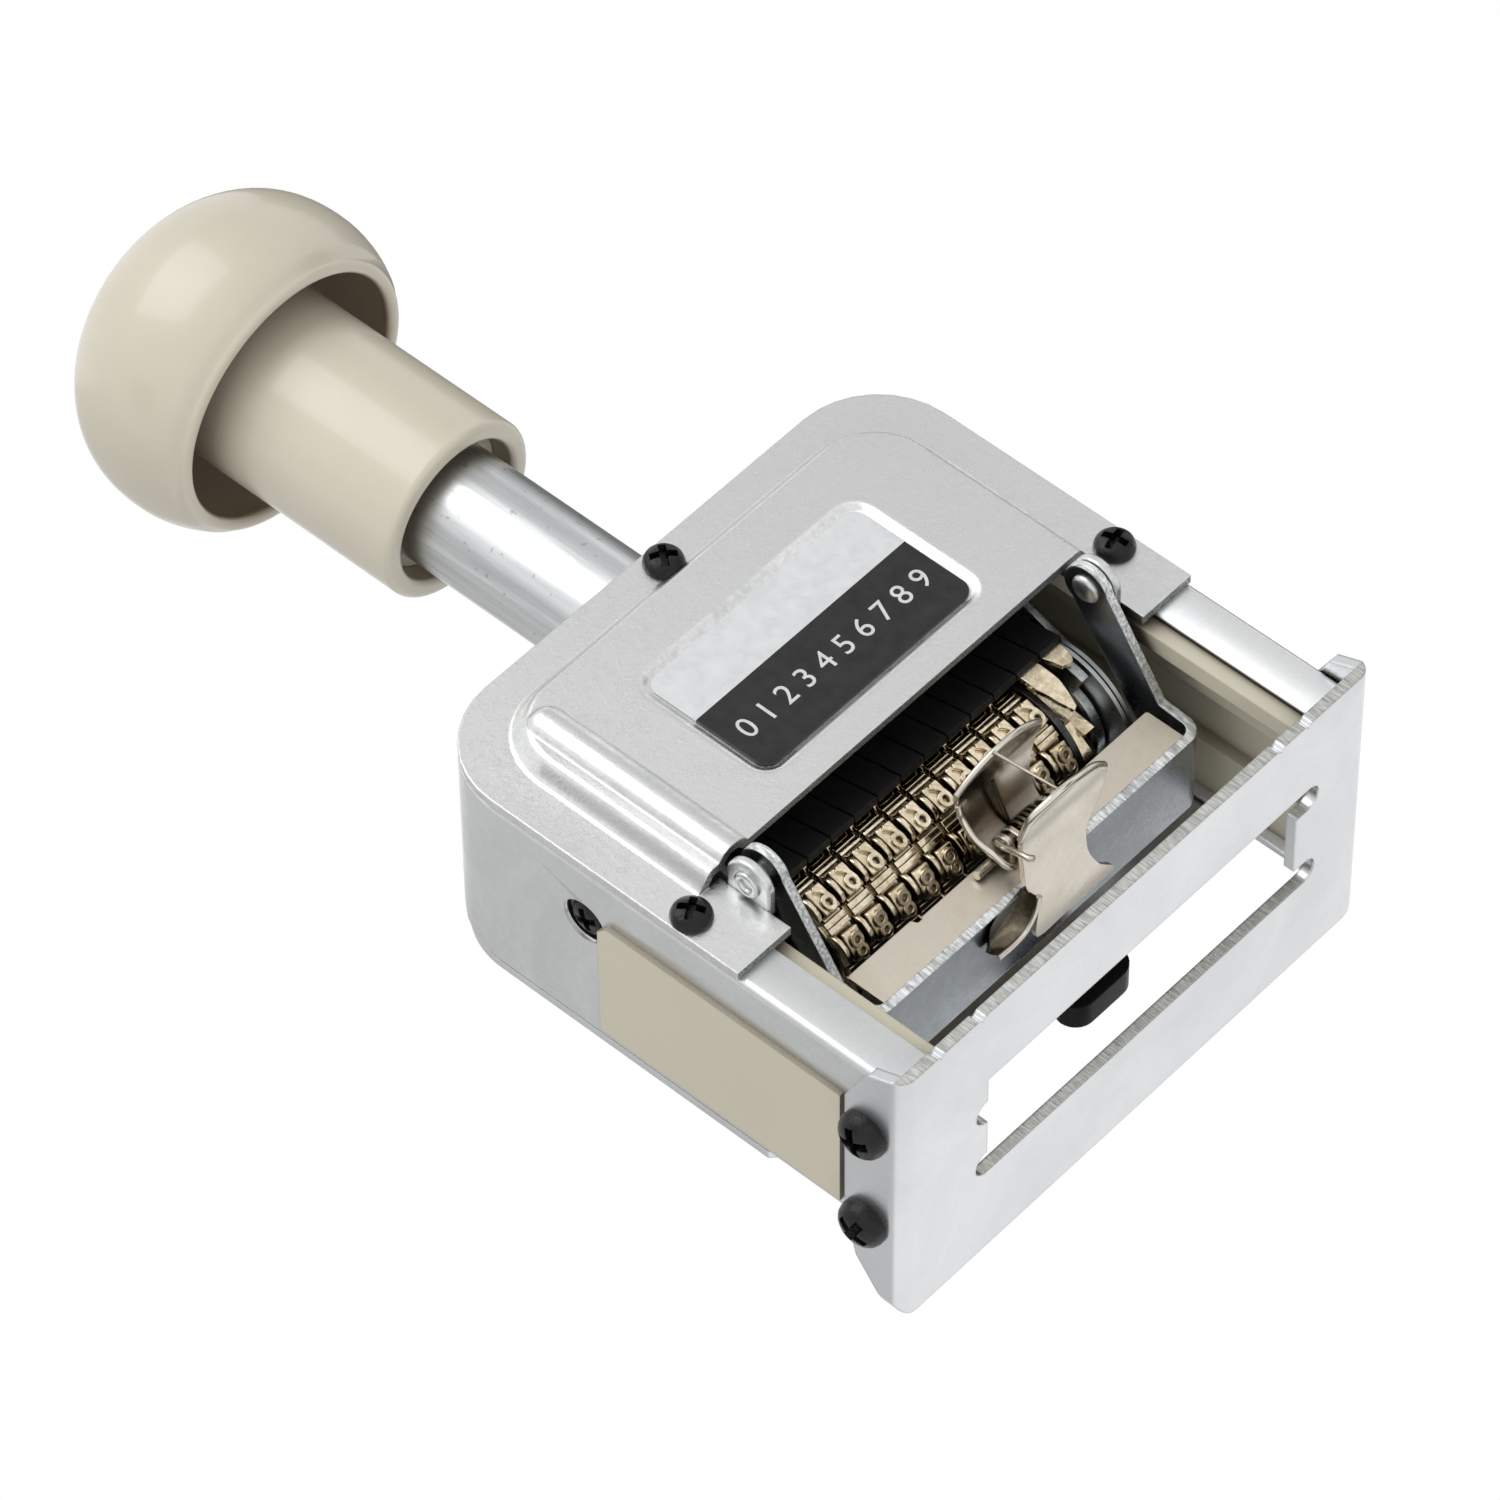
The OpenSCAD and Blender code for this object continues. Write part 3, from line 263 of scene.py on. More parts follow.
def plated(name, dark, light, gloss, cloud, grain, scratched, edge, dent=0.1, hollow_shade=None,
           sheared=None):
    """Plated steel: a soft cloud with its scale per metre, fine grain, hair scratches that are
    light above 0, and edges rounded by so many mm. Painted shade in the hollows is given as its
    reach in mm, its darkest and lightest share of open view and its shade colour, and sheared as
    two colours of the striped cut edges, the way they face and the arms."""
    metal = new_material(name, Metallic=1.0)
    at = on_piece(metal)
    tone = noise(metal, at, cloud, 6.0, 0.62, 0.8)
    for speckle in (noise(metal, at, 2100.0, 3.0, 0.75), noise(metal, at, 420.0, 4.0, 0.6, 1.5)):
        tone = combine(metal, "ADD", tone, spread(metal, speckle, 0.3, 0.7, -grain, grain))
    lines = combine(metal, "MAXIMUM", hair_scratches(metal, at, (0.3, 0.9, 0.2), 600.0),
                    hair_scratches(metal, at, (1.2, -0.6, 0.7), 450.0))
    worn = combine(metal, "MULTIPLY_ADD", lines, scratched, tone)
    colour = two_tone(metal, worn, 0.3, 0.72, dark, light)
    rough = spread(metal, worn, 0.3, 0.75, gloss * 1.35, gloss * 0.75)
    height = tone
    if sheared:
        torn_dark, torn_light, *where = sheared
        cut = cut_edges(metal, *where)
        across, along = (2400 if len(where) > 1 else 5200), 420
        ribs = add_node(metal, "Mapping", Vector=at, Scale=(across, across, along)).outputs[0]
        rib = noise(metal, ribs, 1.0, 4.0, 0.7)
        colour = blend_in(metal, cut, colour,
                          two_tone(metal, rib, 0.36, 0.62, torn_dark, torn_light))
        rough = combine(metal, "MULTIPLY_ADD", cut, 0.22, rough)
        height = combine(metal, "MULTIPLY_ADD", rib, cut, tone)
    # Painted shade: the colour darkens where other surfaces stand near.
    if hollow_shade:
        colour = shade_hollows(metal, colour, *hollow_shade)
    finish_of(metal, Base_Color=colour, Roughness=rough,
              Normal=bumps(metal, height, dent, 0.0003, Normal=rounded_edges(metal, edge)))
    return metal


def finish_nodes(material, *names):
    """Gives CAD nodes this material."""
    for name in names:
        node[name].data.materials.clear()
        node[name].data.materials.append(material)


foot_zinc = plated("foot_zinc", (0.64, 0.655, 0.67), (0.76, 0.77, 0.785), 0.26, 30, 0.03, -0.08,
                   0.5, 0.05, sheared=((0.30, 0.30, 0.28), (0.62, 0.62, 0.60), "Y"))
finish_nodes(foot_zinc, "foot_plate")

# Rear cover, selector's lever, carriage, feed frame and bail: zinc plate on rougher sheet, with
# painted shade in the corners. The bail's plate is painted darker for the shade it mirrors, and
# its cut edges bright.
# Painted shade: the near-black that the plate's corners darken to.
shade_grey = (0.05, 0.05, 0.048)
cloudy_zinc = plated("cloudy_zinc", (0.62, 0.635, 0.64), (0.80, 0.81, 0.815), 0.32, 40, 0.05,
                     -0.06, 0.4, 0.08, (2.5, 0.2, 0.5, shade_grey))
# Painted shade: darkens to dark olive grey where other surfaces stand within 2.5 mm.
inner_zinc = plated("inner_zinc", (0.36, 0.38, 0.375), (0.70, 0.73, 0.71), 0.26, 90, 0.12,
                    0.12, 0.3, 0.16, (2.5, 0.15, 0.55, (0.05, 0.046, 0.036)))
# Painted shade: the bail's plate is painted dark for the shade and dark parts it mirrors; its
# bright striped cut edges are real.
shaded_bail_zinc = plated("shaded_bail_zinc", (0.24, 0.26, 0.275), (0.34, 0.365, 0.385), 0.26, 50, 0.06,
                   0.06, 0.3, 0.10, (1.5, 0.1, 0.5, (0.04, 0.038, 0.034)),
                   ((0.34, 0.36, 0.36), (0.88, 0.89, 0.89), "Y", (0.65, 26.85)))
finish_nodes(cloudy_zinc, "rear_cover", "selector_lever", "selector_pin")
finish_nodes(inner_zinc, "carriage_plates", "feed_frame", "cam_sector")
finish_nodes(shaded_bail_zinc, "ink_bail")

# Guide tube, rod and shafts: drawn or turned bright steel, so its marks run along its length.
# The shafts run across, where only their ends show.
drawn = new_material("drawn_zinc", Metallic=1.0)
lengthwise = add_node(drawn, "Mapping", Vector=on_piece(drawn), Scale=(520, 520, 26)).outputs[0]
streak = noise(drawn, lengthwise, 1.0, 5.0, 0.65)
flecks = noise(drawn, on_piece(drawn), 900.0, 3.0)
pitted = combine(drawn, "SUBTRACT", streak, spread(drawn, flecks, 0.66, 0.72, 0.0, 0.25))
finish_of(drawn, Roughness=spread(drawn, streak, 0.3, 0.7, 0.42, 0.28),
          Base_Color=two_tone(drawn, pitted, 0.25, 0.6, (0.42, 0.435, 0.44), (0.68, 0.695, 0.70)),
          Normal=bumps(drawn, pitted, 0.12, 0.0002))
finish_nodes(drawn, "guide_tube", "plunger_rod", "wheel_shaft", "pawl_shaft")

# Front cover: zinc-plated sheet pressed to a raised middle with a stiffening bead and a
# sunk place for the label. Its legs stand beside the window and carry the ears of the bail.
tube_low, tube_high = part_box("guide_tube")
axis_y = (tube_low.y + tube_high.y) / 2 / MM


def new_piece(name, shape, material, body, replaces=(), sharp=35):
    """Turns a mesh drawn in mm about the handle's axis into a piece that rides on a body."""
    bmesh.ops.transform(shape, matrix=Matrix.Scale(MM, 4) @ Matrix.Translation((0, axis_y, 0)),
                        verts=shape.verts)
    bmesh.ops.recalc_face_normals(shape, faces=shape.faces)
    mesh = bpy.data.meshes.new(name)
    shape.to_mesh(mesh)
    shape.free()
    mesh.materials.append(material)
    mesh.polygons.foreach_set("use_smooth", [True] * len(mesh.polygons))
    mesh.set_sharp_from_angle(angle=math.radians(sharp))
    piece = add_object(name, mesh)
    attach(piece, body)
    if replaces:
        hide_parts(*replaces)
    return piece


def modifier(piece, kind, **settings):
    """Gives a piece a modifier with its settings."""
    made = piece.modifiers.new(kind.lower(), kind)
    for name, setting in settings.items():
        setattr(made, name, setting)


def round_edges(piece, width, segments=2, over=30, hardened=False):
    """Rounds a piece's edges that turn by more than so many degrees."""
    modifier(piece, "BEVEL", width=width * MM, segments=segments, limit_method="ANGLE",
             angle_limit=math.radians(over), harden_normals=hardened)


def bend_line(shape, start, legs, y, steps=8):
    """Edges in the plane y from start: a leg of two is a point in (x, z), and a leg of
    three turns about a point by an angle. A last leg of "close" ends at the start."""
    known = set(shape.edges)
    first = at = shape.verts.new((start[0], y, start[1]))
    for leg in legs:
        if leg == "close":
            shape.edges.new((at, first))
        elif len(leg) == 2:
            there = shape.verts.new((leg[0], y, leg[1]))
            shape.edges.new((at, there))
            at = there
        else:
            count = leg[3] if len(leg) > 3 else max(2, round(steps * abs(leg[2]) / 90))
            at = bmesh.ops.spin(shape, geom=[at], cent=(leg[0], y, leg[1]), axis=(0, 1, 0),
                                angle=math.radians(leg[2]), steps=count)["geom_last"][0]
    return [e for e in shape.edges if e not in known], first, at


def arch(shape, x, half, low, top, r, y):
    """Upside-down U about x: open at the bottom, with round upper corners."""
    if half - r < 0.01:
        legs = [(x - half, top - r), (x, top - r, 180), (x + half, low)]
    else:
        legs = [(x - half, top - r), (x - half + r, top - r, 90), (x + half - r, top),
                (x + half - r, top - r, 90), (x + half, low)]
    return bend_line(shape, (x - half, low), legs, y)


def round_frame(shape, x, z, half_w, half_h, r, y):
    """Closed rectangle with round corners."""
    left, right, low, top = x - half_w, x + half_w, z - half_h, z + half_h
    legs = [(left, top - r), (left + r, top - r, 90), (right - r, top), (right - r, top - r, 90),
            (right, low + r), (right - r, low + r, 90), (left + r, low),
            (left + r, low + r, 78.75, 7), "close"]
    return bend_line(shape, (left, low + r), legs, y)[0]


def bridge_rows(shape, loops):
    """Faces between each loop of edges and the next."""
    for before, after in zip(loops, loops[1:]):
        bmesh.ops.bridge_loops(shape, edges=before + after)


# Painted shade in the hollows; the cut edges that look down are striped shear marks, painted near
# black for the shade they sit in.
cover_zinc = plated("cover_zinc", (0.60, 0.61, 0.605), (0.79, 0.80, 0.79), 0.3, 45, 0.14, -0.06,
                    0.3, 0.10, (2.5, 0.2, 0.5, shade_grey),
                    ((0.03, 0.03, 0.03), (0.55, 0.56, 0.55), "Z"))
cover_half, cover_top, cover_round = 38.5, 74.1, 11.5
cover_y, raised_y, sheet_thick = -15.94, -18.34, 1.2
raised_half, raised_top, raised_round = 33.4, 69.9, 9.6
window_z, leg_z, leg_left, leg_right = 36.0, 25.4, -29.75, 30.15
sheet = bmesh.new()
rim = arch(sheet, 0, cover_half, leg_z, cover_top, cover_round, cover_y)
rows = []
for i in range(10):
    share = i / 9
    rise = (1 - math.cos(math.pi * share)) / 2
    w = 2.4 * share
    rows.append(arch(sheet, 0, raised_half - w, window_z, raised_top - w, raised_round - w,
                     cover_y + (raised_y - cover_y) * rise))
edges = rim[0] + rows[0][0]
for inner, outer_end, row_end in ((leg_left, rim[1], rows[0][1]), (leg_right, rim[2], rows[0][2])):
    toe = sheet.verts.new((inner, cover_y, leg_z))
    knee = sheet.verts.new((inner, cover_y, window_z))
    edges += [sheet.edges.new(pair) for pair in ((outer_end, toe), (toe, knee), (knee, row_end))]
bmesh.ops.triangle_fill(sheet, use_beauty=True, edges=edges)
bridge_rows(sheet, [row[0] for row in rows])
bead_x, bead_top = -27.4, 63.9
bead_rows = [arch(sheet, bead_x, w, window_z, bead_top + w, w, raised_y - h)
             for w, h in ((2.45, 0), (2.3, 0.1), (2.1, 0.38), (1.8, 0.75), (1.4, 1.02), (0.9, 1.2),
                          (0.4, 1.28))]
bridge_rows(sheet, [row[0] for row in bead_rows])
ridge = bead_rows[-1]
bmesh.ops.triangle_fill(sheet, edges=ridge[0] + [sheet.edges.new((ridge[1], ridge[2]))])
label_x, label_z = 1.6, 50.4
recess = [round_frame(sheet, label_x, label_z, 18.0 + w, 9.6 + w, 2.2 + w, raised_y + deep)
          for w, deep in ((1.5, 0), (1.2, -0.03), (0.9, 0.02), (0.6, 0.16), (0.3, 0.34),
                          (0.1, 0.46), (-0.1, 0.5))]
bridge_rows(sheet, recess)
bmesh.ops.triangle_fill(sheet, edges=recess[-1])
top = rows[-1]
edges = top[0] + bead_rows[0][0] + recess[0]
edges += [sheet.edges.new((top[1], bead_rows[0][1])), sheet.edges.new((bead_rows[0][2], top[2]))]
bmesh.ops.triangle_fill(sheet, use_beauty=True, edges=edges)
cover = new_piece("cover_sheet", sheet, cover_zinc, "frame", ["front_cover"], 30)
modifier(cover, "SOLIDIFY", thickness=sheet_thick * MM, offset=-1)
round_edges(cover, 0.22, 2, 50)
modifier(cover, "WEIGHTED_NORMAL", keep_sharp=True, weight=100)

# Ears, rivets and second link: the ears are bent forward from the cover's legs, and a rivet
# in each carries an arm of the bail. A thin link of the same zinc sheet runs beside one arm.


def push_face(shape, faces, push):
    """Gives flat faces a thickness along push, and returns the pushed vertices."""
    made = bmesh.ops.extrude_face_region(shape, geom=faces)["geom"]
    pushed = [v for v in made if isinstance(v, bmesh.types.BMVert)]
    bmesh.ops.translate(shape, vec=push, verts=pushed)
    return pushed


def flat_plate(shape, edges, push):
    """Makes a plate inside closed edges, thick along push, and returns its vertices."""
    faces = bmesh.ops.contextual_create(shape, geom=edges)["faces"]
    near = {v for f in faces for v in f.verts}
    return list(near | set(push_face(shape, faces, push)))


def side_plate(shape, start, legs, x0, x1):
    """A plate drawn in (y, z) and given its thickness from x0 to x1."""
    edges = bend_line(shape, start, legs, 0)[0]
    verts = flat_plate(shape, edges, (0, x0 - x1, 0))
    bmesh.ops.transform(shape, verts=verts, matrix=Matrix.Rotation(math.pi / 2, 4, "Z")
                        @ Matrix.Translation((0, -x0, 0)))


def spun(shape, line, centre, axis, steps, closed=False):
    """Points joined in turn to a line, and spun about an axis through centre."""
    points = [shape.verts.new(spot) for spot in line]
    pairs = list(zip(points, points[1:] + points[:1])) if closed else zip(points, points[1:])
    chain = [shape.edges.new(pair) for pair in pairs]
    bmesh.ops.spin(shape, geom=points + chain, cent=centre, axis=axis, angle=2 * math.pi,
                   steps=steps, use_merge=True)


def turned(shape, profile, y, z, steps=48):
    """A closed profile of (x, radius) points turned about a line along X."""
    spun(shape, [(x, y, z + r) for x, r in profile], (0, y, z), (1, 0, 0), steps, True)


pivot_y, pivot_z = -18.2, 31.8
ear_back, ear_low, ear_thick = -14.9, 28.6, 1.2
ears = bmesh.new()
for x0 in (leg_left, leg_right - ear_thick):
    side_plate(ears, (ear_back, ear_low), [(pivot_y, ear_low), (pivot_y, pivot_z, 180),
                                           (ear_back, 35.0), "close"], x0, x0 + ear_thick)
ear_pair = new_piece("cover_ears", ears, cover_zinc, "frame")
round_edges(ear_pair, 0.3, 3, 50)
pivots = bmesh.new()
for out, ear_x, arm_x in ((-1, leg_left, -26.2), (1, leg_right, 27.5)):
    inner_head = [(-0.5, 0.01), (-0.5, 1.5), (-0.1, 1.9), (0, 1.9), (0, 1.3)]
    outer_head = [(0, 1.3), (0, 1.75), (0.25, 1.75), (0.45, 1.5), (0.45, 1.15), (0.2, 0.85),
                  (-1.2, 0.8), (-1.3, 0.01)]
    turned(pivots, [(arm_x + out * off, r) for off, r in inner_head]
           + [(ear_x + out * off, r) for off, r in outer_head], pivot_y, pivot_z)
new_piece("bail_rivets", pivots, cover_zinc, "frame",
          ["bail_pin_left", "bail_pin_right"], 50)
link = bmesh.new()
side_plate(link, (-14.5, 31.6), [(-10.0, 30.6), (-6.0, 27.0), (-4.9, 23.5), (-4.9, 16.4),
                                 (-5.7, 16.4, 180), (-6.5, 22.2), (-7.0, 25.4), (-10.6, 29.0),
                                 (-14.5, 30.2), "close"], -28.35, -27.85)
turned(link, [(-28.7, 0.01), (-28.7, 0.7), (-28.5, 1.1), (-27.4, 1.1), (-27.4, 0.01)], -5.7, 16.6)
second_link = new_piece("bail_link", link, cover_zinc, "bail")
round_edges(second_link, 0.12)

# Casing: one sheet folded over the top, with its front and back edges folded in to rails on
# a soft bend. It is holed for the guide tube and for the two screws in its walls.


def polar(r, degrees):
    """A point on a circle about the origin."""
    return r * math.cos(math.radians(degrees)), r * math.sin(math.radians(degrees))


case_front, case_back, bend, rail_w, foot_thick = -14.74, 13.2, 0.95, 6.0, 1.5
wall_screw_y, wall_screw_z, tube_hole_r, screw_hole_r = -5.8, 48.6, 7.85, 3.1
sideways = Matrix.Rotation(math.pi / 2, 4, "Y")
fold = bmesh.new()
quarter = [polar(bend, a) for a in range(0, 91, 15)]
places = [(rail_w, case_front)]
places += [(bend - inward, case_front + bend - back) for back, inward in quarter]
places += [(bend - inward, case_back - bend + back) for back, inward in reversed(quarter)]
places.append((rail_w, case_back))
loops = [arch(fold, 0, cover_half - w, foot_thick, cover_top - w, cover_round - w, y)[0]
         for w, y in places]
half = len(loops) // 2
bridge_rows(fold, loops[:half])
bridge_rows(fold, loops[half:])
front_row, back_row = loops[half - 1], loops[half]
arc = (len(front_row) - 3) // 2
for part in (slice(1, 1 + arc), slice(2 + arc, 2 + 2 * arc)):
    bmesh.ops.bridge_loops(fold, edges=front_row[part] + back_row[part])
for at, hole, turn, r in (
    (0, (-cover_half, wall_screw_y, wall_screw_z), sideways, screw_hole_r),
    (1 + arc, (0, 0, cover_top), Matrix.Identity(4), tube_hole_r),
    (len(front_row) - 1, (cover_half, wall_screw_y, wall_screw_z), sideways, screw_hole_r),
):
    near_edge, far_edge = front_row[at], back_row[at]
    ends = [fold.edges.get(pair) or fold.edges.new(pair)
            for pair in zip(near_edge.verts, far_edge.verts)]
    rim_verts = bmesh.ops.create_circle(fold, segments=48, radius=r,
                                        matrix=Matrix.Translation(hole) @ turn)["verts"]
    rim_edges = list({e for v in rim_verts for e in v.link_edges})
    bmesh.ops.triangle_fill(fold, use_beauty=True,
                            edges=[near_edge, far_edge] + ends + rim_edges)
casing_sheet = new_piece("casing_sheet", fold, cloudy_zinc, "frame", ["casing"], 30)
modifier(casing_sheet, "SOLIDIFY", thickness=sheet_thick * MM, offset=-1)
modifier(casing_sheet, "WEIGHTED_NORMAL", keep_sharp=True, weight=100)

# Label: a thin printed plate glued in the cover's recess, light above and charcoal below,
# with nothing but a row of plain figures on it.
plate_y, plate_thick, band_z = raised_y + 0.5, 0.35, 51.85
upright = Matrix.Rotation(math.pi / 2, 4, "X")
label_face = bmesh.new()
flat_plate(label_face, round_frame(label_face, label_x, label_z, 17.7, 9.3, 1.9, plate_y),
           (0, -plate_thick, 0))
printed = new_material("printed_label")
grain = noise(printed, on_piece(printed), 500.0, 3.0)
high = add_node(printed, "SeparateXYZ", Vector=on_piece(printed)).outputs["Z"]
charcoal = two_tone(printed, grain, 0.3, 0.7, (0.006, 0.006, 0.006), (0.012, 0.012, 0.012))
silver = two_tone(printed, grain, 0.3, 0.7, (0.66, 0.67, 0.68), (0.74, 0.75, 0.76))
finish_of(printed, Roughness=spread(printed, grain, 0.3, 0.7, 0.24, 0.34), Base_Color=blend_in(
    printed, combine(printed, "GREATER_THAN", high, band_z * MM), charcoal, silver))
label = new_piece("label_print", label_face, printed, "frame", ["label_plate"])
round_edges(label, 0.08)


def figure_mesh(text, size, thick, soft):
    """Plain figures as a mesh, centred, with their height along Y and their faces along Z."""
    letters = bpy.data.curves.new("figures", "FONT")
    letters.body = text
    letters.size = size
    letters.extrude = thick
    letters.bevel_depth = soft
    letters.align_x = "CENTER"
    letters.align_y = "CENTER"
    letters.resolution_u = 4
    carrier = add_object("figures", letters)
    made = bpy.data.meshes.new_from_object(
        carrier.evaluated_get(bpy.context.evaluated_depsgraph_get()))
    bpy.data.objects.remove(carrier)
    return made


white_ink = new_material("white_ink")
ink_grain = noise(white_ink, on_piece(white_ink), 900.0)
finish_of(white_ink, Base_Color=two_tone(white_ink, ink_grain, 0.3, 0.7, (0.60, 0.61, 0.62),
                                         (0.70, 0.71, 0.72)))
row = bmesh.new()
row.from_mesh(figure_mesh("0 1 2 3 4 5 6 7 8 9", 4.2, 0.01, 0))
bmesh.ops.transform(row, verts=row.verts, matrix=Matrix.Translation((
    label_x, plate_y - plate_thick - 0.01, 46.7)) @ upright)
new_piece("label_figures", row, white_ink, "frame")

# Knob, sleeve and slide guides: moulded plastic with a soft gloss. The knob is a hollow
# mushroom with a rolled rim, and the sleeve is pressed onto its post.


def moulded(name, dark, light, gloss, coat, skin=0.04, hollow=None):
    """Moulded plastic: faint flow marks, an orange-peel skin, a clear gloss and shaded hollows."""
    plastic = new_material(name, Coat_Weight=coat, Coat_Roughness=0.08)
    at = on_piece(plastic)
    flow = noise(plastic, at, 28.0, 4.0, 0.6, 0.6)
    colour = two_tone(plastic, flow, 0.3, 0.7, dark, light)
    if hollow:
        colour = shade_hollows(plastic, colour, *hollow)
    peel = bumps(plastic, noise(plastic, at, 650.0), skin, 0.0001,
                 Normal=rounded_edges(plastic, 0.35))
    finish_of(plastic, Base_Color=colour, Normal=peel,
              Roughness=spread(plastic, flow, 0.3, 0.7, gloss * 1.2, gloss * 0.85))
    return plastic


# Painted shade: warm brown where other surfaces stand within 10 mm, as in the knob's hollow and on
# the sleeve under it.
beige = moulded("beige_plastic", (0.61, 0.56, 0.45), (0.655, 0.605, 0.49), 0.3, 0.35,
                hollow=(10, 0.2, 0.55, (0.24, 0.175, 0.115)))
# Painted shade: dark brown where other surfaces stand within 5 mm, as along the guides inside the
# casing.
guide_beige = moulded("guide_plastic", (0.59, 0.545, 0.425), (0.63, 0.585, 0.465), 0.42, 0.1, 0.05,
                      (5, 0.3, 0.8, (0.09, 0.065, 0.04)))
cream = moulded("cream_plastic", (0.66, 0.61, 0.50), (0.72, 0.67, 0.56), 0.36, 0.15)
finish_nodes(beige, "sleeve")
finish_nodes(guide_beige, "slide_guide_left", "slide_guide_right")
finish_nodes(cream, "sleeve_bush")

knob_z, knob_r, knob_up = 139.6, 21.0, 16.8
rim_drop, rim_reach, wall = 8.5, 17.85, 1.8


def skirt(r, i):
    """A point of the knob's skirt, i eighths of the way from its widest down to its rim."""
    drop = rim_drop * i / 8
    return r * math.sqrt(1 - (drop / rim_reach) ** 2), -drop


def cap(r, up, a):
    """A point of the knob's round cap, a degrees above its widest."""
    a = math.radians(a)
    return r * math.cos(a) ** 0.9, up * math.sin(a) ** 0.9


half_line = [(0, knob_up)] + [cap(knob_r, knob_up, a) for a in range(87, -1, -3)]
half_line += [skirt(knob_r, i) for i in range(1, 8)]
lip_r = wall / 2
lip_x = skirt(knob_r, 8)[0] - lip_r
half_line += [(lip_x + x, lip_r * 0.6 - rim_drop - z)
              for x, z in (polar(lip_r, a) for a in range(0, 181, 15))]
half_line += [skirt(knob_r - wall, i) for i in range(6, 0, -1)]
half_line += [cap(knob_r - wall, knob_up - wall, a) for a in range(0, 90, 5)]
half_line.append((0, knob_up - wall))
mushroom = bmesh.new()
spun(mushroom, [(x, 0, knob_z + z) for x, z in half_line], (0, 0, 0), (0, 0, 1), 96)
bmesh.ops.remove_doubles(mushroom, verts=mushroom.verts, dist=0.001)
new_piece("knob_shell", mushroom, beige, "carriage", ["knob"], 60)

# Screws: pan heads with a cross recess, blackened with oxide. Four hold the foot, three the
# front cover, and two sit in holes of the walls.
# Painted shade: the cross recesses and other close hollows darken to black within 1.2 mm.
oxide = plated("black_oxide", (0.002, 0.002, 0.002), (0.010, 0.010, 0.011), 0.17, 500, 0.1,
               0.05, 0.12, 0.6, (1.2, 0.2, 0.7, (0.0005, 0.0005, 0.0005)))
finish_of(oxide, Metallic=0.0, Specular_IOR_Level=0.3)


def pan_screw(name, place, facing, head_r, head_high, shank_r, grip, cross_turn):
    """A pan-head screw with a cross recess: its head stands on place and looks along facing."""
    screw = bmesh.new()
    dome = ((0.2, 0.985), (0.4, 0.94), (0.6, 0.86), (0.8, 0.7), (0.93, 0.5), (1, 0.22), (1, 0))
    line = [(0.01, head_high), *((r * head_r, high * head_high) for r, high in dome),
            (shank_r, 0), (shank_r, -grip), (0.01, -grip)]
    spun(screw, [(r, 0, z) for r, z in line], (0, 0, 0), (0, 0, 1), 48)
    slot_half, slot_long, shoulder = 0.19 * head_r, 0.66 * head_r, 0.6 * head_high
    for axis in ((1, 0, 0), (0, 1, 0)):
        for off in (-slot_long, -slot_half, slot_half, slot_long):
            crown = [f for f in screw.faces if f.calc_center_median().z > shoulder]
            edges = list({e for f in crown for e in f.edges})
            bmesh.ops.bisect_plane(screw, geom=crown + edges, dist=0.0001,
                                   plane_co=Vector(axis) * off, plane_no=axis)
    in_cross = []
    for f in screw.faces:
        spot = f.calc_center_median()
        wide, tight = max(abs(spot.x), abs(spot.y)), min(abs(spot.x), abs(spot.y))
        if spot.z > shoulder and wide < slot_long and tight < slot_half:
            in_cross.append(f)
    for v in push_face(screw, in_cross, (0, 0, 0)):
        v.co = (v.co.x * 0.72, v.co.y * 0.72, 0.25 * head_high)
    bmesh.ops.delete(screw, geom=in_cross, context="FACES")
    bmesh.ops.transform(screw, verts=screw.verts, matrix=Matrix.Translation(place)
                        @ Vector(facing).to_track_quat("Z", "Y").to_matrix().to_4x4()
                        @ Matrix.Rotation(math.radians(cross_turn), 4, "Z"))
    new_piece(name + "_head", screw, oxide, "frame", [name], 28)


foot_half = 40
for i, (out, y, turn) in enumerate(((-1, -6.2, 20), (-1, 10, 64), (1, -6.2, 38), (1, 10, 5))):
    pan_screw(f"foot_screw_{i + 1}", (out * foot_half, y, 5.4), (out, 0, 0), head_r=3.15,
              head_high=2.42, shank_r=1.5, grip=5.3, cross_turn=turn)
for i, (x, z, turn) in enumerate(((0, 71.4, 52), (-35.9, 34.6, 30), (35.9, 34.6, 12))):
    pan_screw(f"cover_screw_{i + 1}", (x, cover_y, z), (0, -1, 0), head_r=2.5,
              head_high=1.85, shank_r=1.25, grip=3.7, cross_turn=turn)
for i, (out, turn) in enumerate(((-1, 25), (1, 70))):
    pan_screw(f"wall_screw_{i + 1}", (out * (cover_half - sheet_thick), wall_screw_y,
                                        wall_screw_z), (out, 0, 0), head_r=2.5, head_high=1.2,
              shank_r=1.25, grip=2.5, cross_turn=turn)

# Pawl leaves: blackened steel leaves side by side, which bear on the ratchets of the wheels.
# They hang on the pawl shaft and fill the top of the window.
leaf_black = plated("leaf_black", (0.006, 0.006, 0.006), (0.016, 0.015, 0.015), 0.36, 160, 0.1,
                    -0.35, 0.12)
finish_of(leaf_black, Metallic=0.0, Specular_IOR_Level=0.2)
finish_nodes(leaf_black, "pawl_leaves")

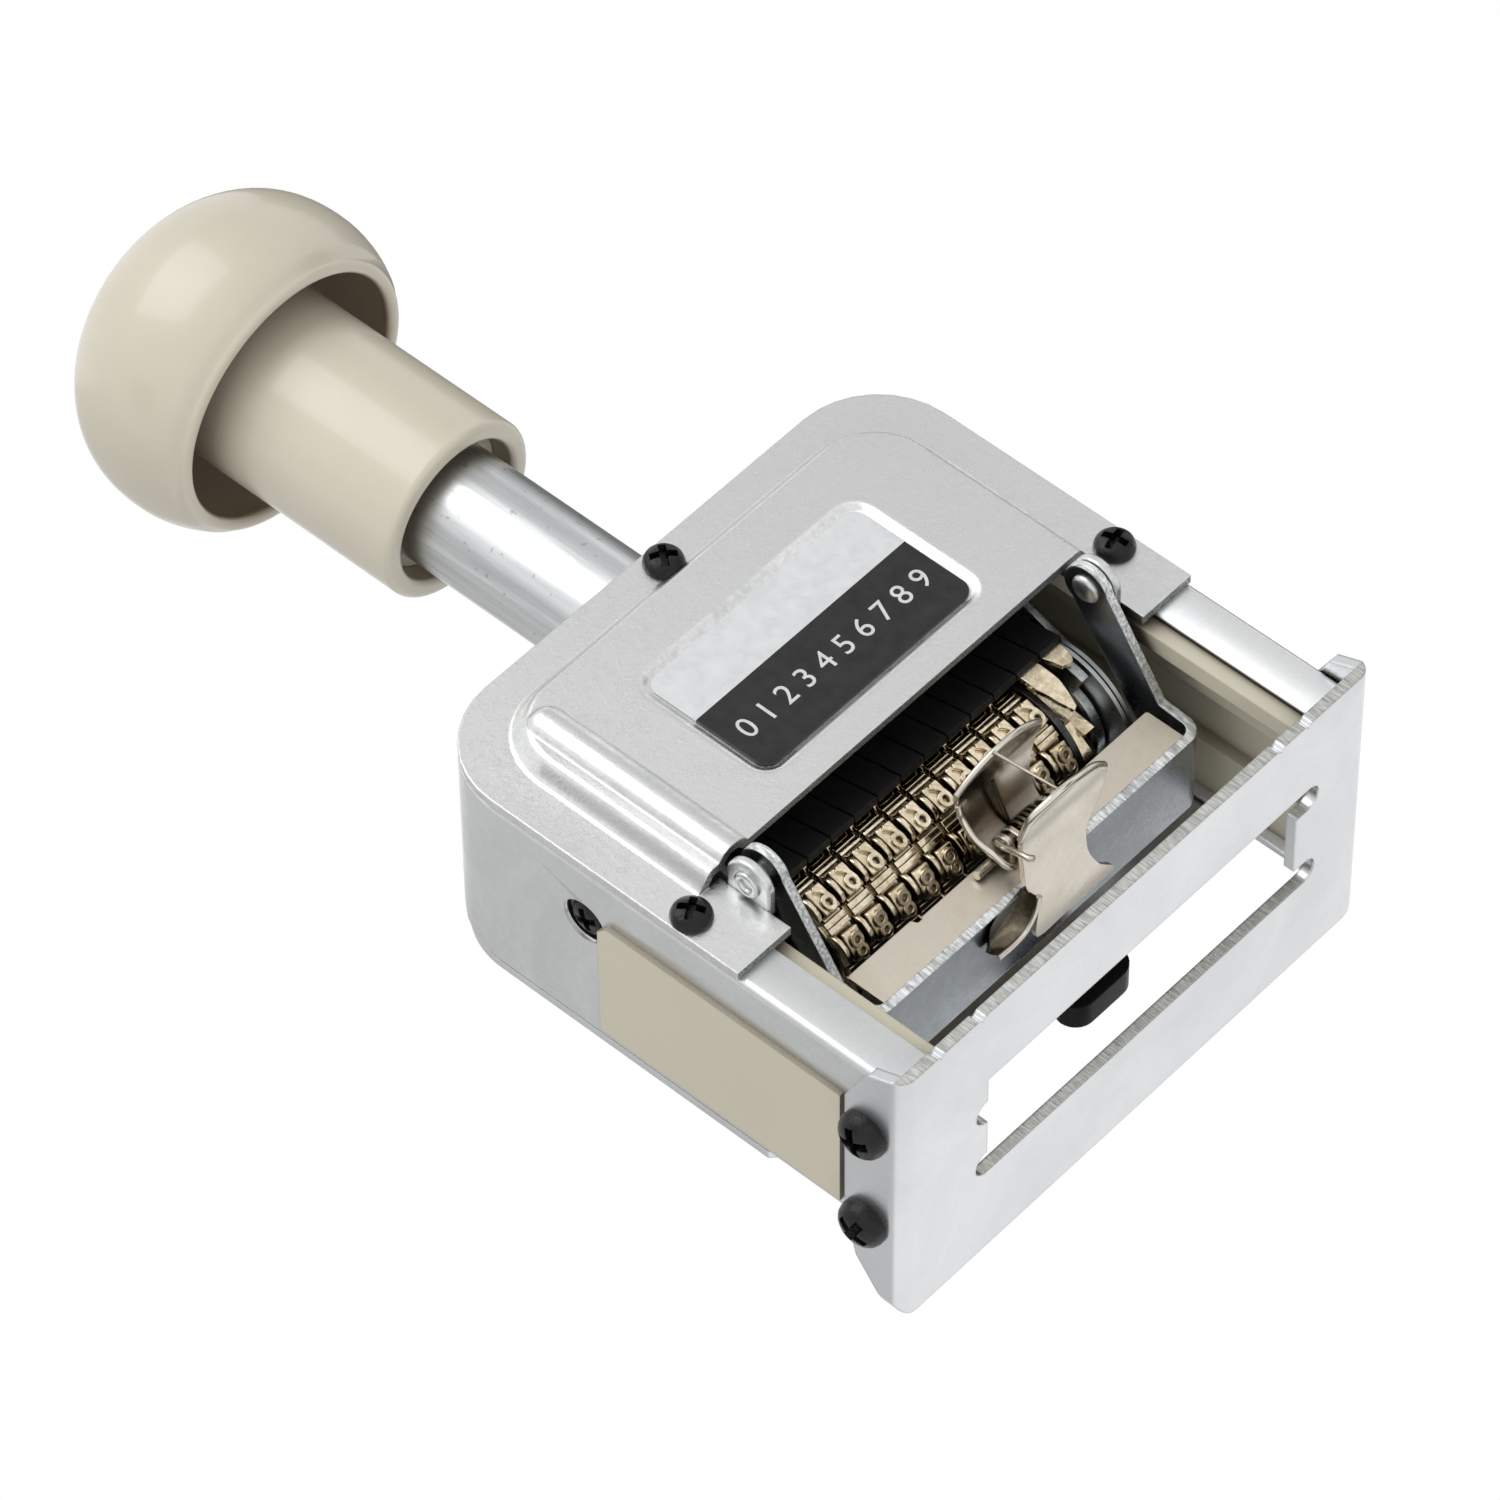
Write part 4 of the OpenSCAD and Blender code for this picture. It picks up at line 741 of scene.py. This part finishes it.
# Selector's cap: a smooth black plastic finger piece, pressed over the end of the lever at
# the back and seen through the print slot.
black_gloss = moulded("black_plastic", (0.002, 0.002, 0.002), (0.004, 0.003, 0.003), 0.3, 0.0)
finish_of(black_gloss, Specular_IOR_Level=0.08)
button_low, button_high = (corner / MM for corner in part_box("selector_knob"))
button = bmesh.new()
button_size = button_high - button_low
outline = round_frame(button, 4.9, button_low.z + button_size.z / 2, 5.3, button_size.z / 2, 2.6,
                      button_low.y - axis_y)
flat_plate(button, outline, (0, button_size.y, 0))
selector_button = new_piece("selector_button", button, black_gloss, "selector",
                            ["selector_knob"])
round_edges(selector_button, 1.1, 5, 50, True)

# Ink pad: a block of felt with a crowned top, soaked in dark ink and set in the nickel tray.
# It is soft, and wears to the shape of the type.
felt = new_material("inked_felt", Roughness=0.9)
fibres = noise(felt, on_piece(felt), 1500.0, 4.0)
finish_of(felt, Normal=bumps(felt, fibres, 0.6, 0.0003),
          Base_Color=two_tone(felt, fibres, 0.3, 0.7, (0.006, 0.006, 0.012), (0.03, 0.03, 0.045)))
pad = bmesh.new()
tray_x = 0.65
pad_at, pad_half = (tray_x, 0, 18.45), (24.7, 5.2, 2.15)
bmesh.ops.create_cube(pad, size=2)
bmesh.ops.subdivide_edges(pad, edges=pad.edges, cuts=9, use_grid_fill=True)
for v in pad.verts:
    u, w, t = v.co
    crown = (1 - u ** 6) * (1 - w ** 4)
    pinch = 1 - 0.02 * (1 - t * t)
    top_t = t if t < 0.99 else t - 0.14 * (1 - crown)
    v.co = (pad_at[0] + pad_half[0] * u * pinch,
            pad_at[1] + pad_half[1] * w * (1 - 0.05 * (1 - t * t)),
            pad_at[2] + pad_half[2] * top_t)
felt_pad = new_piece("felt_pad", pad, felt, "bail", ["ink_pad"], 60)
modifier(felt_pad, "SUBSURF", levels=1, render_levels=1)

# Number wheels: nickel-plated steel, each with ten raised figures that read reversed, so
# that they print the right way round, two bars between each two, and a ratchet at one side.
# Painted shade: golden brown where other surfaces stand within 1.2 mm, as inside the figures and
# between the teeth.
wheel_nickel = plated("wheel_nickel", (0.50, 0.41, 0.27), (0.88, 0.79, 0.62), 0.13, 300, 0.12, 0.05,
                      0.12, 0.12, (1.2, 0.1, 0.6, (0.12, 0.075, 0.032)))
wheel_z, wheel_pitch, wheels_x = 32.0, 3.95, -23.0
land_x, land_r, core_r, hub_r, bore_r, tooth_thick = 2.3, 10.3, 9.15, 8.9, 2.9, 0.65
figures = [figure_mesh(str(k), 4.9, 0.3, 0.1) for k in range(10)]


def soften(shape, edges, width, segments):
    """Rounds these edges of a mesh that is still being made."""
    bmesh.ops.bevel(shape, geom=edges, offset=width, segments=segments, profile=0.5,
                    affect="EDGES", clamp_overlap=True, material=-1)


def at_angle(degrees, x, r):
    """Where a shape drawn upright goes on a wheel: X stays, Y runs round it and Z points out."""
    a = math.radians(degrees)
    out = Vector((0, math.cos(a), math.sin(a)))
    round_it = Vector((0, -math.sin(a), math.cos(a)))
    stand = Matrix((Vector((1, 0, 0)), round_it, out)).transposed().to_4x4()
    stand.translation = Vector((x, 0, wheel_z)) + out * r
    return stand


wheel_form = bmesh.new()
turned(wheel_form, [(0.05, bore_r), (0.05, hub_r), (0.85, hub_r), (0.85, 8.3), (1.0, 8.3),
                    (1.0, core_r), (3.6, core_r), (3.6, bore_r)], 0, wheel_z, 80)
tooth_line = ((-14.5, 9.0), (-12, 9.9), (-8, 10.45), (-3, 10.7), (2, 10.7), (7, 10.4), (10, 9.9),
              (12, 9.3), (13, 8.8), (-13, 8.6))
for place in range(10):
    centre = 36 * place + 18
    known = set(wheel_form.verts)
    tooth = [wheel_form.verts.new((0.1, y, wheel_z + z))
             for y, z in (polar(r, centre + a) for a, r in tooth_line)]
    push_face(wheel_form, [wheel_form.faces.new(tooth)], (tooth_thick, 0, 0))
    crest = [e for e in wheel_form.edges if e.verts[0] not in known
             and abs(e.verts[0].co.x - e.verts[1].co.x) < 0.01]
    soften(wheel_form, crest, 0.14, 2)
    for at, x, r, size, soft in ((centre, land_x, land_r, (2.5, 3.7, 1.5), 0.3),
                                 (centre + 15.6, 2.0, 9.75, (3.3, 0.75, 1.2), 0.1),
                                 (centre + 20.4, 2.0, 9.75, (3.3, 0.75, 1.2), 0.1)):
        block = bmesh.ops.create_cube(wheel_form, size=1, matrix=at_angle(at, x, r - size[2] / 2)
                                      @ Matrix.Diagonal((*size, 1)))["verts"]
        around = list({e for v in block for e in v.link_edges})
        soften(wheel_form, around, soft, 3)
    known = set(wheel_form.verts)
    wheel_form.from_mesh(figures[(14 - place) % 10])
    bmesh.ops.transform(wheel_form, matrix=at_angle(centre, land_x, land_r + 0.2)
                        @ Matrix.Diagonal((0.8, 1, 1, 1)),
                        verts=[v for v in wheel_form.verts if v not in known])
bmesh.ops.recalc_face_normals(wheel_form, faces=wheel_form.faces)
for wheel in range(10):
    one = wheel_form.copy()
    bmesh.ops.translate(one, vec=(wheels_x + wheel * wheel_pitch, 0, 0), verts=one.verts)
    new_piece(f"type_wheel_{wheel + 1}", one, wheel_nickel, f"number_wheel_{wheel + 1}",
              [f"number_wheel_{wheel + 1}"])

# Cam stack: a dark steel ring, a nickel cam and two thin bright steel discs on the wheel
# shaft, at the right of the wheels. The feed pawl is of the same dark steel.
dark_steel = plated("dark_steel", (0.045, 0.045, 0.045), (0.15, 0.145, 0.14), 0.33, 150, 0.1, 0.1,
                    0.15)
finish_nodes(dark_steel, "end_ring", "feed_pawl")
finish_nodes(wheel_nickel, "repeat_cam")
discs = bmesh.new()
for x0, thick, r in ((24.0, 0.5, 10.6), (25.1, 0.5, 10.0)):
    bmesh.ops.create_cone(discs, cap_ends=True, segments=96, radius1=r, radius2=r, depth=thick,
                          matrix=Matrix.Translation((x0 + thick / 2, 0, wheel_z)) @ sideways)
new_piece("cam_discs", discs, drawn, "carriage")

# Return spring: hard-drawn wire wound round the rod inside the guide tube. It stands on the
# tube's seat and is drawn at rest; the real spring shortens as the knob is pressed down.


def wound(shape, start, wire_r, centre, axis, rise, turns, per_turn=20):
    """Wire wound round an axis through centre from start, rising along the axis."""
    section = bmesh.ops.create_circle(shape, segments=10, radius=wire_r,
                                      matrix=Matrix.Translation(start) @ upright)["verts"]
    bmesh.ops.spin(shape, geom=section + list(shape.edges), cent=centre, axis=axis,
                   dvec=Vector(axis) * rise / turns / per_turn, angle=2 * math.pi * turns,
                   steps=turns * per_turn)
    bmesh.ops.holes_fill(shape, edges=[e for e in shape.edges if e.is_boundary])


spring_low, spring_high = (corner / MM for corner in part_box("return_spring"))
spring_wire, handle_travel = 0.6, 21
spring_r = (spring_high.x - spring_low.x) / 2 - spring_wire
spring = bmesh.new()
wound(spring, (spring_r, 0, spring_low.z + spring_wire), spring_wire, (0, 0, 0), (0, 0, 1),
      spring_high.z - spring_low.z - 2 * spring_wire, 20)
return_coil = new_piece("return_coil", spring, dark_steel, "frame",
                        ["return_spring"], 50)
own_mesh(return_coil)

# Pad holder: a nickel tray for the pad with a tall front lip that is cut away in the middle.
# It is folded from thin sheet and held in the bail.
satin_nickel = plated("satin_nickel", (0.57, 0.52, 0.435), (0.65, 0.60, 0.515), 0.42, 120, 0.06,
                      0.0, 0.15, 0.04)
tray_z, tray_deep = 17.5, 2.9
tray = bmesh.new()
bmesh.ops.create_cube(tray, size=1, matrix=Matrix.Translation((tray_x, 0.2, tray_z))
                      @ Matrix.Diagonal((51.2, 11.4, 3.4, 1)))
lid = [f for f in tray.faces if f.normal.z > 0.9]
bmesh.ops.inset_region(tray, faces=lid, thickness=0.5)
bmesh.ops.translate(tray, vec=(0, 0, -tray_deep), verts=lid[0].verts)
holder = new_piece("pad_tray", tray, satin_nickel, "bail", ["pad_holder"])
round_edges(holder, 0.12, hardened=True)
lip = bmesh.new()
lip_edges = bend_line(lip, (-25.0, 15.8), [
    (-25.0, 20.9), (-24.6, 20.9, 90), (-14.4, 21.3), (-14.0, 20.5), (-13.2, 20.5), (-13.2, 20.75),
    (15.2, 20.75), (15.5, 21.3), (25.9, 21.3), (25.9, 20.9, 90), (26.3, 15.8), "close"], -5.75)[0]
bmesh.ops.triangle_fill(lip, edges=lip_edges)
lip_plate = new_piece("tray_lip", lip, satin_nickel, "bail")
modifier(lip_plate, "SOLIDIFY", thickness=0.5 * MM, offset=0)
round_edges(lip_plate, 0.12, hardened=True)

# Clip: two waisted thumb wings bent from nickel sheet. One is fixed to the tray, which has two
# lugs for the pin, and the other turns on the pin by its cheeks when they are pinched.


def smooth_path(points, count=12):
    """Catmull-Rom curve through points, as (length so far, point) pairs."""
    points = [Vector(p) for p in points]
    ends = [points[0] * 2 - points[1], *points, points[-1] * 2 - points[-2]]
    made = [(0.0, points[0])]
    for a, b, c, d in zip(ends, ends[1:], ends[2:], ends[3:]):
        for i in range(1, count + 1):
            t = i / count
            spot = 0.5 * (2 * b + (c - a) * t + (2 * a - 5 * b + 4 * c - d) * t * t
                          + (3 * b - a - 3 * c + d) * t ** 3)
            made.append((made[-1][0] + (spot - made[-1][1]).length, spot))
    return made


def bent_plate(shape, x, start, legs, points):
    """A flat outline in (x, length along), cut into strips and bent along a path in (y, z)."""
    path = smooth_path(points)
    known = set(shape.verts)
    edges = bend_line(shape, start, legs, 0)[0]
    bmesh.ops.triangle_fill(shape, use_beauty=True, edges=edges)
    longest = path[-1][0]
    cuts = int(longest / 0.4)
    for i in range(1, cuts):
        geom = [v for v in shape.verts if v not in known]
        geom += [e for e in shape.edges if e.verts[0] not in known]
        geom += [f for f in shape.faces if f.verts[0] not in known]
        bmesh.ops.bisect_plane(shape, geom=geom, dist=0.0001, plane_co=(0, 0, longest * i / cuts),
                               plane_no=(0, 0, 1))
    for v in shape.verts:
        if v in known:
            continue
        reach = min(max(v.co.z, 0), longest)
        k = next(i for i in range(1, len(path)) if path[i][0] >= reach - 1e-6)
        (low, a), (high, b) = path[k - 1], path[k]
        spot = a.lerp(b, (reach - low) / (high - low))
        v.co = (x + v.co.x, spot[0], spot[1])


# Painted shade: both darken to brown where other surfaces stand near, the wings' copy within 7 mm,
# so that the inside of the wings reads dark.
nickel = plated("nickel", (0.60, 0.55, 0.475), (0.74, 0.69, 0.615), 0.24, 90, 0.04, -0.05, 0.15,
                0.04, (2, 0.2, 0.6, (0.075, 0.048, 0.022)))
wing_nickel = plated("wing_nickel", (0.60, 0.55, 0.475), (0.76, 0.71, 0.635), 0.2, 60, 0.04, -0.05,
                     0.15, 0.03, (7, 0.4, 0.95, (0.05, 0.036, 0.022)))
finish_nodes(nickel, "clip_pin")
clip_x, clip_y, clip_z = 3.7, -8.4, 19.4
upper_wing = bmesh.new()
wing_x = clip_x + 0.1
bent_plate(upper_wing, wing_x, (3.6, 0), [
    (3.4, 3.0), (4.2, 6.5), (7.2, 10.9), (0, 4.0, -92.4), (-7.0, 8.0), (-6.9, 4.0), (-6.3, 0),
    "close"], [(-7.8, 18.4), (-8.3, 20.8), (-10.2, 23.0), (-14.0, 24.4), (-18.7, 23.6)])
wing = new_piece("clip_wing", upper_wing, wing_nickel, "bail")
lever = bmesh.new()
lever_outline = [tuple(spot) for _, spot in smooth_path((
    (8.3, 4.9), (8.3, 6.1), (6.9, 8.4), (5.1, 9.7), (3.8, 10.8), (3.2, 12.4), (3.2, 14.2),
    (4.4, 16.8), (6.5, 18.9), (3.1, 19.3), (-2.0, 19.3), (-6.8, 19.2), (-6.2, 16.2), (-5.4, 14.2),
    (-6.7, 12.4), (-6.8, 11.0), (-6.5, 9.2), (-6.2, 7.4), (-5.9, 5.2), (-5.0, 1.8), (-3.0, 0.3),
    (0.3, 0.3), (4.2, 2.0), (6.6, 3.5)), 3)]
bent_plate(lever, clip_x, lever_outline[0], [*lever_outline[1:], "close"], [
    (-18.6, 14.4), (-15.8, 15.5), (-12, 15.6), (-8.5, 14.6), (-5, 13.5), (-2, 12.8), (0.5, 12.4)])
squeezer = new_piece("clip_squeezer", lever, nickel, "clip", ["clip_lever"])
for plate in (wing, squeezer):
    modifier(plate, "SOLIDIFY", thickness=0.7 * MM, offset=0)
    round_edges(plate, 0.2, 3, 50, True)
lugs = bmesh.new()
for off in (-4.32, 4.32):
    side_plate(lugs, (clip_y, 18.0), [(clip_y, clip_z, 180), (-6, 20.8), (-6, 18.0), "close"],
               clip_x + off - 0.4, clip_x + off + 0.4)
lug_pair = new_piece("clip_lugs", lugs, nickel, "bail")
cheeks = bmesh.new()
for off in (-2.88, 2.88):
    side_plate(cheeks, (-9.8, 15.6), [(-9.8, clip_z), (clip_y, clip_z, 180), (-7.3, 15.6), "close"],
               clip_x + off - 0.4, clip_x + off + 0.4)
cheek_pair = new_piece("clip_cheeks", cheeks, nickel, "clip")
for pair in (lug_pair, cheek_pair):
    round_edges(pair, 0.15)

# Pawl tongues: the nickel noses of the two pawls that work the cams, curved round the stack
# and drawn to a point.
cam_round = 11.3
tongues = bmesh.new()
for x, first, last in ((18.3, 166, 214), (22.1, 160, 198)):
    round_stack = [(y, wheel_z + z)
                   for y, z in (polar(cam_round, a) for a in range(first, last + 1, 8))]
    long = math.radians(last - first) * cam_round
    bent_plate(tongues, x, (1.5, 0), [(1.6, long * 0.6), (0.9, long - 0.3), (0.3, long),
                                      (-0.6, long * 0.8), (-1.4, long * 0.5), (-1.5, 0), "close"],
               round_stack)
pawl_tongues = new_piece("pawl_tongues", tongues, wheel_nickel, "carriage")
modifier(pawl_tongues, "SOLIDIFY", thickness=0.8 * MM, offset=0)
round_edges(pawl_tongues, 0.25, 3, 50, True)

# Clip spring and wires: hard-drawn nickel wire wound round the pin, with a leg on the fixed
# wing. Rolled rims, hooks, a strut and a curled horn finish the two wings.


def bent_wire(shape, points, r, segments=10):
    """Round wire along a smooth curve through points."""
    spots = [spot for _, spot in smooth_path(points, 6)]
    aim = (spots[1] - spots[0]).normalized()
    turn = aim.to_track_quat("Z", "Y")
    rings = []
    for k, spot in enumerate(spots):
        ahead = (spots[min(k + 1, len(spots) - 1)] - spots[max(k - 1, 0)]).normalized()
        turn = aim.rotation_difference(ahead) @ turn
        aim = ahead
        stand = Matrix.Translation(spot) @ turn.to_matrix().to_4x4()
        ring_verts = bmesh.ops.create_circle(shape, segments=segments, radius=r,
                                             matrix=stand)["verts"]
        rings.append(list({e for v in ring_verts for e in v.link_edges}))
    bridge_rows(shape, rings)
    bmesh.ops.holes_fill(shape, edges=rings[0] + rings[-1])


def rod(shape, a, b, r, segments=12):
    """A straight round rod from a to b."""
    a, b = Vector(a), Vector(b)
    turn = (b - a).to_track_quat("Z", "Y").to_matrix().to_4x4()
    bmesh.ops.create_cone(shape, cap_ends=True, segments=segments, radius1=r, radius2=r,
                          depth=(b - a).length, matrix=Matrix.Translation((a + b) / 2) @ turn)


# Painted shade: nickel painted dark for the shade that the clip's coil and the barb's hollow sit
# in, and darker still where other surfaces stand near.
shaded_nickel = plated("shaded_nickel", (0.05, 0.043, 0.03), (0.20, 0.17, 0.12), 0.25, 200, 0.06,
                       -0.05, 0.15, 0.05, (3, 0.3, 0.9, (0.012, 0.008, 0.004)))
coil_half, coil_wire = 1.9, 0.28
coil_start = (clip_x - coil_half, clip_y, clip_z + 1.3)
coil = bmesh.new()
wound(coil, coil_start, coil_wire, (clip_x, clip_y, clip_z), (1, 0, 0), 2 * coil_half, 5)
rod(coil, coil_start, (clip_x - coil_half, -14.2, 23.4), coil_wire)
new_piece("clip_coil", coil, shaded_nickel, "bail", ["clip_spring"])
wires = bmesh.new()
rim_r, rim_half, rim_turn = 9.9, 7.2, 46.2
rim_sides = rim_half / polar(1, rim_turn)[1]
bent_wire(wires, [(wing_x + rim_sides * side, -18.7 + rim_r * (1 - ahead),
                   23.7 + (1 - ahead) * 5 / 3)
                  for ahead, side in (polar(1, a) for a in range(-46, 47, 10))], 0.4)
bent_wire(wires, [(-3.35, -14.1, 24.0), (-3.4, -12.3, 23.3), (-3.6, -10.5, 21.1),
                  (-3.2, -9.4, 18.5), (-3.1, -8.9, 17.2), (-2.4, -8.2, 16.6), (-1.9, -7.4, 17.3)],
          0.42)
rod(wires, (-5.2, -6.9, 19.6), (-1.8, -6.9, 19.6), 0.6, 20)
new_piece("wing_wires", wires, nickel, "bail", (), 50)
strut_top, strut_foot = Vector((1.9, -19.2, 23.4)), Vector((5.9, -14.0, 17.2))
strut = bmesh.new()
bent_wire(strut, [strut_top, strut_top.lerp(strut_foot, 0.5), strut_foot], 0.2)
clip_strut = new_piece("clip_strut", strut, nickel, "bail", (), 50)
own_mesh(clip_strut)
loose = bmesh.new()
bent_wire(loose, [(12.0, -13.9, 15.7), (10.3, -15.4, 15.6), (7.9, -16.7, 15.2), (4.0, -18.5, 14.5),
                  (0.7, -18.5, 14.5), (-1.3, -17.0, 15.1), (-2.2, -13.7, 15.7)], 0.5)
bent_wire(loose, [(-1.8, -9.8, 19.5), (-2.1, -10.2, 18.6), (-2.5, -11.4, 16.3),
                  (-2.7, -12.2, 14.2), (-2.2, -12.0, 13.8)], 0.42)
horn = [(-2.6, -6.7, 12.5), (-3.1, -4.7, 12.5), (-4.7, -2.6, 12.5), (-6.8, -2.0, 12.5),
        (-9.5, -2.1, 12.5)]
horn_far = [(-3.4, -7.6, 13.9), (-6.0, -7.2, 14.1), (-8.4, -6.7, 14.2), (-9.6, -4.6, 14.1),
            (-9.9, -2.6, 12.9)]
bent_wire(loose, horn, 0.36)
new_piece("lever_wires", loose, nickel, "clip", (), 50)
hollow = bmesh.new()
rows = [[hollow.verts.new(Vector(near).lerp(Vector(far), share) + Vector((0, 0.3, 1)) * lift)
         for near, far in zip(horn, horn_far)]
        for share, lift in ((0, 0), (0.3, 1.5), (0.65, 1.6), (1, 0))]
for before, after in zip(rows, rows[1:]):
    for a, b, c, d in zip(before, before[1:], after[1:], after):
        hollow.faces.new((a, b, c, d))
barb = new_piece("clip_barb", hollow, shaded_nickel, "clip", (), 80)
modifier(barb, "SUBSURF", levels=2, render_levels=2)
